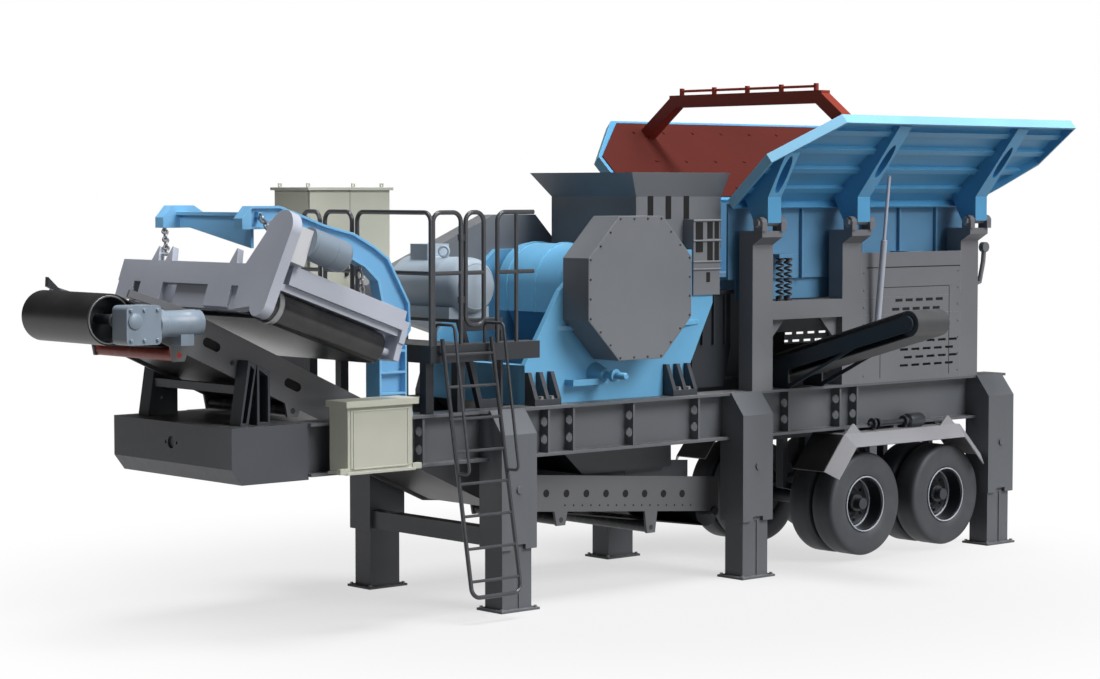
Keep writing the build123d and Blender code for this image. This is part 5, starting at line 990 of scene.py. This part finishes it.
class CRUSHER_OT_crusher_details(bpy.types.Operator):
    """Flush guard face, painted shade in the chute's slots and the cages' windows, barred side cages, feeder aprons
    and the dark feed skirt, a sheet of painted shade under the feeder
    """

    bl_idname = "crusher.crusher_details"
    bl_label = "Detail the crusher"
    face_inset = 0.004
    face_deep = 0.012
    slot = (0.074, 0.235)
    slot_x = (2.343, 2.589, 2.839)
    slot_y = 0.6262
    slot_z = 3.722
    mark = 0.003
    cage_x = (2.800, 3.170)
    cage_y = (0.610, 0.770)
    cage_z = (2.845, 3.600)
    # Place from the cage's middle, width and height of each window.
    windows = ((-0.105, 0.20, 0.10, 0.30), (0.045, 0.27, 0.075, 0.17), (0.140, 0.27, 0.06, 0.17),
               (0.045, 0.06, 0.075, 0.20), (0.140, 0.06, 0.06, 0.20), (0.02, -0.20, 0.05, 0.10))
    window_gap = 0.0005
    bars = (0.365, 0.165, -0.045, -0.120)
    bar_r = 0.010
    bar_over = 0.010
    bar_out = 0.006
    apron = rectangle(3.520, 6.900, 2.770, 2.990)
    apron_y = 0.640
    apron_thick = 0.010
    skirt = ((2.950, 1.900), (3.400, 1.900), (3.500, 2.300), (3.500, 2.880), (2.950, 2.880))
    skirt_half = 0.600
    collar = rectangle(2.930, 3.520, 2.840, 2.880)
    collar_half = 0.630
    rib = (0.020, 0.500)
    rib_x = (3.08, 3.24, 3.40)
    rib_z = 2.580

    def execute(self, context):
        spot = (GUARD_CENTRE[0], GUARD_Y + self.face_deep, GUARD_CENTRE[1])
        face = upright(guard_outline(self.face_inset), spot, self.face_deep + GUARD_PROUD)
        grid_object("guard_face", [face], "guard")
        self.cages()
        grid_object("feeder_aprons", pair(self.apron, (0, self.apron_y, 0), self.apron_thick), "trough")
        # The feed skirt is a dark sheet standing in for the shade under the feeder.
        grids = [crosswise(self.skirt, self.skirt_half), crosswise(self.collar, self.collar_half)]
        for x in self.rib_x:
            grids += pair(oblong(*self.rib), (x, self.skirt_half, self.rib_z), self.collar_half - self.skirt_half)
        grid_object("feed_skirt", grids, "shadow")
        return {"FINISHED"}

    def cages(self):
        """Boxes with bars on both sides of the chute, with painted shade in their windows and in the chute's own
        slots.
        """
        (x0, x1), (inner, outer), (z0, z1) = self.cage_x, self.cage_y, self.cage_z
        x, z = (x0 + x1) / 2, (z0 + z1) / 2
        grids = pair(oblong(x1 - x0, z1 - z0), (x, inner, z), outer - inner)
        for y in (-outer - self.bar_out, outer + self.bar_out):
            grids += [sweep(circle(self.bar_r, 8),
                            along((x0 - self.bar_over, y, z + dz), (x1 + self.bar_over, y, z + dz), 3))
                      for dz in self.bars]
        grid_object("chute_cage", grids, "guard")
        # Dark patches of painted shade in the chute's slots and the cages' windows.
        slots = []
        for slot_x in self.slot_x:
            slots += pair(oblong(*self.slot), (slot_x, self.slot_y, self.slot_z), self.mark)
        for dx, dz, wide, tall in self.windows:
            slots += pair(oblong(wide, tall), (x + dx, outer + self.window_gap, z + dz), self.mark)
        grid_object("chute_slots", slots, "hole")


class CRUSHER_OT_hopper_rims(bpy.types.Operator):
    """Pale blue strips of painted highlight along the wings' front and upper edges, and the rear latch arms"""

    bl_idname = "crusher.hopper_rims"
    bl_label = "Face the hopper rims"
    edges = (((3.350, 0.0), (3.360, 0.700)), ((3.360, 0.700), (3.960, 1.305)), ((3.960, 1.305), (7.650, 1.305)))
    depth = 0.110
    proud = 0.003
    latch = ((7.00, 2.86), (7.09, 2.88), (7.15, 3.10), (7.165, 3.25))
    latch_y = 0.90
    latch_r = 0.026
    knob_x = 7.165
    knob_z = 3.265
    knob_r = 0.055
    knob_half = 0.03

    def execute(self, context):
        grids = []
        # Thin pale strips of painted highlight along each wing's edges.
        for side in (-1, 1):
            down = np.array([0.0, side * math.sin(WING_SLOPE), -math.cos(WING_SLOPE)])
            for edge in self.edges:
                start, end = (on_wing(x, s, side) for x, s in edge[::side])
                length = np.linalg.norm(end - start)
                face = rectangle(0, length, 0, self.depth)
                grids.append(slab(face, start, (end - start) / length, down, self.proud))
        grid_object("hopper_rim_faces", grids, "edge")
        grids = []
        for y in (-self.latch_y, self.latch_y):
            grids.append(sweep(circle(self.latch_r, 10), [(x, y, z) for x, z in self.latch]))
            knob = disc(self.knob_r, -self.knob_half, self.knob_half)
            grids.append(lathe(knob, (self.knob_x, y, self.knob_z), (0, 1, 0), 24))
        grid_object("rear_latches", grids, "panel", smooth=True)
        return {"FINISHED"}


class CRUSHER_OT_conveyor_head(bpy.types.Operator):
    """Bright drum rims and the scraper at the discharge head, painted shade in the tail plate's holes and the skirt
    boards
    """

    bl_idname = "crusher.conveyor_head"
    bl_label = "Fit the conveyor head"
    drum_r = 0.205
    half = 0.530
    rim_inset = 0.006
    rim_wire = 0.009
    # First and last hole, count, radius and facets of each row.
    hole_rows = (((0.960, 0.993), (2.780, 0.851), 8, 0.038, 24), ((1.200, 0.860), (2.900, 0.727), 16, 0.010, 12))
    hole_deep = 0.004
    hole_proud = 0.001
    board = ((2.170, 1.012), (3.041, 0.947), (3.041, 1.160), (2.170, 1.219))
    board_y = 0.442
    board_thick = 0.008
    blade = ((-0.12, 0.310), (-0.09, 0.232), (0.14, 0.228), (0.03, 0.258))
    blade_wide = 0.05

    def execute(self, context):
        y = self.half - self.rim_inset
        grids = [ring(self.drum_r - self.rim_inset, self.rim_wire, (HEAD[0], way * y, HEAD[1]), (0, way, 0), 60)
                 for way in (-1, 1)]
        grid_object("drum_rims", grids, "steel", smooth=True)
        # Dark discs of painted shade in the tail plate's holes.
        grids = []
        for (x0, z0), (x1, z1), count, radius, facets in self.hole_rows:
            hole = disc(radius, -self.hole_deep, self.hole_proud)
            grids += [lathe(hole, spot, NEAR, facets)
                      for spot in along((x0, -PLATE_OUTER, z0), (x1, -PLATE_OUTER, z1), count)]
        grid_object("tail_plate_holes", grids, "hole")
        grid_object("skirt_boards", pair(self.board, (0, self.board_y, 0), self.board_thick), "chassis")
        blade = slab(self.blade, on_incline(0, 0, self.half), *incline_axes(), self.blade_wide)
        grid_object("belt_scraper", [blade], "shadow")
        return {"FINISHED"}


class CRUSHER_OT_magnet_fittings(bpy.types.Operator):
    """Bright collars by the guard and a pale motor bracket on the magnet"""

    bl_idname = "crusher.magnet_fittings"
    bl_label = "Fit the magnet"
    collar = ((0.10, 0), (0.146, 0), (0.151, 0.006), (0.151, 0.050), (0.146, 0.056), (0.10, 0.056))
    collar_u = -0.450
    collar_y = 0.93
    bracket = rectangle(-0.66, -0.372, 0.382, 0.700)
    bracket_y = -1.158
    bracket_thick = 0.006

    def execute(self, context):
        axis, rise = magnet_axes()
        grids = [lathe(self.collar, on_magnet(self.collar_u, y, 0), axis, 48, closed=True)
                 for y in (-self.collar_y, self.collar_y)]
        grid_object("magnet_collars", grids, "steel", smooth=True)
        face = slab(self.bracket, on_magnet(0, self.bracket_y, 0), axis, rise, self.bracket_thick)
        grid_object("magnet_bracket_face", [face], "bright")
        return {"FINISHED"}


class CRUSHER_OT_cabinet_fittings(bpy.types.Operator):
    """Handles on the cabinet's leaves, and seams and feet on the small box"""

    bl_idname = "crusher.cabinet_fittings"
    bl_label = "Fit the cabinets"
    face = 0.972
    # Width, height, middle and thickness of a handle's plate and of its grip.
    handle = ((0.034, 0.20, 3.16, 0.010), (0.022, 0.13, 3.13, 0.022))
    # Middle, width and height of the small box's seams.
    seams = ((-1.80, 1.72, 0.012, 0.50), (-1.20, 1.72, 0.012, 0.50), (-1.50, 1.468, 0.62, 0.012),
             (-1.50, 1.972, 0.62, 0.012))
    seam_y = -1.235
    seam_thick = 0.006
    foot = (0.10, 0.05)
    foot_x = (-1.90, -1.10)
    foot_y = -1.19
    foot_z = 1.452
    foot_thick = 0.05

    def execute(self, context):
        for name, x, body in (("left", -0.205, "door_leaf"), ("right", -0.105, "plant")):
            grids, y = [], self.face
            for wide, tall, z, thick in self.handle:
                grids.append(upright(oblong(wide, tall), (x, y, z), thick))
                y -= thick
            grid_object(f"cabinet_{name}_handle", grids, "shadow", body)
        grids = [upright(oblong(wide, tall), (x, self.seam_y, z), self.seam_thick)
                 for x, z, wide, tall in self.seams]
        grids += [upright(oblong(*self.foot), (x, self.foot_y, self.foot_z), self.foot_thick) for x in self.foot_x]
        grid_object("small_box_seams", grids, "beige")
        return {"FINISHED"}


class CRUSHER_OT_louvres(bpy.types.Operator):
    """Painted shade in the side panels' slots, dark seams, and sheets of painted shade behind the panels' own slots
    and behind the conveyor's ovals
    """

    bl_idname = "crusher.louvres"
    bl_label = "Cut the louvres"
    # Height and first station of each row of slots.
    rows = ((2.722, 5.62), (2.628, 5.57))
    count = 5
    pitch = 0.165
    slot = (0.112, 0.030)
    # Middle, width and height of each seam.
    seams = ((5.92, 3.075, 1.52, 0.010), (5.94, 2.862, 1.12, 0.006), (5.38, 2.38, 0.006, 0.95),
             (6.50, 2.38, 0.006, 0.95))
    proud = 0.0006
    mark = 0.002
    # Far face, then the outline, of each sheet of painted shade behind the panels' own slots.
    backs = ((-0.938, 5.10, 6.67, 1.985, 2.300), (0.942, 5.10, 6.67, 1.985, 2.160), (0.942, 5.10, 5.93, 2.160, 2.300))
    back_thick = 0.004
    oval = (0.24, 0.12)
    oval_runs = (0.962, 1.899)
    oval_up = 0.175
    oval_y = (-0.604, 0.608)

    def execute(self, context):
        slots = [(x + self.pitch * i + self.slot[0] / 2, z, *self.slot)
                 for z, x in self.rows for i in range(self.count)]
        grids = []
        for x, z, wide, tall in (*slots, *self.seams):
            grids += pair(oblong(wide, tall), (x, BEAM_HALF + self.proud, z), self.mark)
        grids += [upright(rectangle(*outline), (0, y, 0), self.back_thick) for y, *outline in self.backs]
        grids += [slab(oblong(*self.oval), on_incline(run, self.oval_up, y), *incline_axes(), self.back_thick)
                  for run in self.oval_runs for y in self.oval_y]
        grid_object("louvre_slots", grids, "hole")
        return {"FINISHED"}


class CRUSHER_OT_stage(bpy.types.Operator):
    """Pale floor, soft lamps, white surround and the camera"""

    bl_idname = "crusher.stage"
    bl_label = "Set the stage"
    floor_reach = 90.0
    floor_rings = 40
    floor_spokes = 96
    # The floor goes over to plain white between these distances.
    white_from = 2.5
    white_to = 7.5
    # Name, spread in degrees and aim.
    suns = (("key", 30, (-0.25, 0.76, -0.60)), ("low", 20, (-0.12, 1.0, -0.02)), ("top", 20, (-0.06, 0.1, -1.0)))
    sun_spot = (0, 0, 12)
    # Name, share of the power, cone in degrees, stand and target.
    spots = (("magnet", 0.9, 21, (-10.5, -3.5, 5.0), (-2.2, -0.4, 3.75)),
             ("jib", 7.0, 16, (-6.5, -2.5, 7.5), (-2.5, -0.3, 4.15)),
             ("barrel", 7.0, 13, (-3.0, -2.6, 7.5), (1.42, 0.05, 3.05)),
             ("box", 6.0, 9, (-6.8, -2.6, 2.1), (-1.86, -1.1, 1.72)),
             ("cabinet", 7.5, 18, (-6.4, -0.8, 6.2), (-0.64, 1.25, 3.1)))
    spot_soft = 0.6
    heading = math.radians(41.575)
    dip = math.radians(3.274)
    stand = (-15.603, -19.364, 3.899)
    sensor = 36.0
    focal_pixels = 2625.1
    picture_pixels = 1100

    def execute(self, context):
        stage = context.scene.crusher_stage
        scene = context.scene
        scene.view_settings.view_transform = "Standard"
        self.floor(stage)
        self.lamps(stage)
        self.surround(scene, stage)
        self.camera(scene)
        return {"FINISHED"}

    def floor(self, stage):
        """Disc of rings: radius falls with one parameter, angle grows with the other; it fades to white far off."""
        far, turn = np.meshgrid(np.linspace(1, 0, self.floor_rings) ** 2 * self.floor_reach,
                                np.arange(self.floor_spokes) * 2 * np.pi / self.floor_spokes, indexing="ij")
        points = np.stack([far * np.cos(turn), far * np.sin(turn), 0 * far], -1)
        floor = grid_object("studio_floor", [(points, False, True)], body=None)
        material, tree, shader, place = new_material("studio_floor")
        path = node(tree, "LightPath").outputs
        seen = larger(tree, path["Is Camera Ray"], larger(tree, path["Is Glossy Ray"], path["Is Transmission Ray"]))
        feed(tree, shader, Base_Color=mix(tree, seen, tuple(stage.bounce), tuple(stage.floor)), Roughness=0.9)
        reach = node(tree, "VectorMath", {"operation": "LENGTH"}, i0=place).outputs["Value"]
        white = node(tree, "Emission", Color=(1, 1, 1, 1), Strength=1.0).outputs[0]
        near = node(tree, "MapRange", {"interpolation_type": "SMOOTHSTEP"}, Value=reach, From_Min=self.white_from,
                    From_Max=self.white_to, To_Min=stage.whiten, To_Max=1.0).outputs["Result"]
        both = node(tree, "MixShader", i0=product(tree, near, seen), i1=shader.outputs[0], i2=white).outputs[0]
        feed(tree, tree.nodes["Material Output"], Surface=both)
        floor.data.materials.append(material)

    def lamps(self, stage):
        """Broad suns over the ladder side, level with it and overhead, and soft spots from the discharge end."""
        for name, spread, aim in self.suns:
            lamp = bpy.data.lights.new(name + "_light", "SUN")
            lamp.energy = getattr(stage, name + "_power")
            lamp.angle = math.radians(spread)
            self.place(name + "_light", lamp, self.sun_spot, aim)
        for name, share, cone, stand, target in self.spots:
            spot = bpy.data.lights.new(name + "_light", "SPOT")
            spot.energy = stage.spot_power * share
            spot.spot_size = math.radians(cone)
            spot.spot_blend = 1.0
            spot.shadow_soft_size = self.spot_soft
            self.place(name + "_light", spot, at(stand), np.subtract(target, stand))

    def place(self, name, data, spot, aim):
        """Hangs a lamp or a camera at a spot, looking along aim."""
        holder = bpy.data.objects.new(name, data)
        holder.rotation_mode = "QUATERNION"
        holder.rotation_quaternion = Vector(aim).to_track_quat("-Z", "Y")
        holder.location = spot
        bpy.context.scene.collection.objects.link(holder)
        return holder

    def surround(self, scene, stage):
        """White to the camera and through glass, an even grey as light."""
        world = bpy.data.worlds.new("studio_surround")
        world.use_nodes = True
        tree = world.node_tree
        path = node(tree, "LightPath").outputs
        plain = larger(tree, path["Is Camera Ray"], path["Is Transmission Ray"])
        feed(tree, tree.nodes["Background"], Color=(1, 1, 1, 1), Strength=between(tree, plain, stage.fill, 1.0))
        scene.world = world

    def camera(self, scene):
        """Long lens well off the discharge corner, a little above the deck."""
        level = math.cos(self.dip)
        aim = (math.sin(self.heading) * level, math.cos(self.heading) * level, -math.sin(self.dip))
        data = bpy.data.cameras.new("photo_camera")
        data.sensor_width = self.sensor
        data.lens = self.sensor * self.focal_pixels / self.picture_pixels
        data.clip_end = 500
        scene.camera = self.place("photo_camera", data, at(self.stand), aim)


class CRUSHER_PT_panel(bpy.types.Panel):
    """Buttons for every piece, in order"""

    bl_idname = "CRUSHER_PT_panel"
    bl_label = "Mobile jaw crusher"
    bl_space_type = "VIEW_3D"
    bl_region_type = "UI"
    bl_category = "Crusher"

    def draw(self, context):
        for step in STEPS:
            self.layout.operator(step.bl_idname)


GROUPS = {"crusher_colours": CrusherColours, "crusher_fittings": CrusherFittings, "crusher_stage": CrusherStage}
STEPS = (CRUSHER_OT_finishes, CRUSHER_OT_tyres, CRUSHER_OT_rims, CRUSHER_OT_mudguards, CRUSHER_OT_springs,
         CRUSHER_OT_bolts, CRUSHER_OT_motors, CRUSHER_OT_crusher_frame, CRUSHER_OT_crusher_details,
         CRUSHER_OT_hopper_rims, CRUSHER_OT_conveyor_head, CRUSHER_OT_magnet_fittings, CRUSHER_OT_cabinet_fittings,
         CRUSHER_OT_louvres, CRUSHER_OT_stage)
CLASSES = (*GROUPS.values(), *STEPS, CRUSHER_PT_panel)


def register():
    for cls in CLASSES:
        bpy.utils.register_class(cls)
    for name, group in GROUPS.items():
        setattr(bpy.types.Scene, name, PointerProperty(type=group))


def unregister():
    for name in GROUPS:
        delattr(bpy.types.Scene, name)
    for cls in reversed(CLASSES):
        bpy.utils.unregister_class(cls)


def main():
    register()
    for step in STEPS:
        group, name = step.bl_idname.split(".")
        getattr(getattr(bpy.ops, group), name)()


if __name__ == "__main__":
    main()
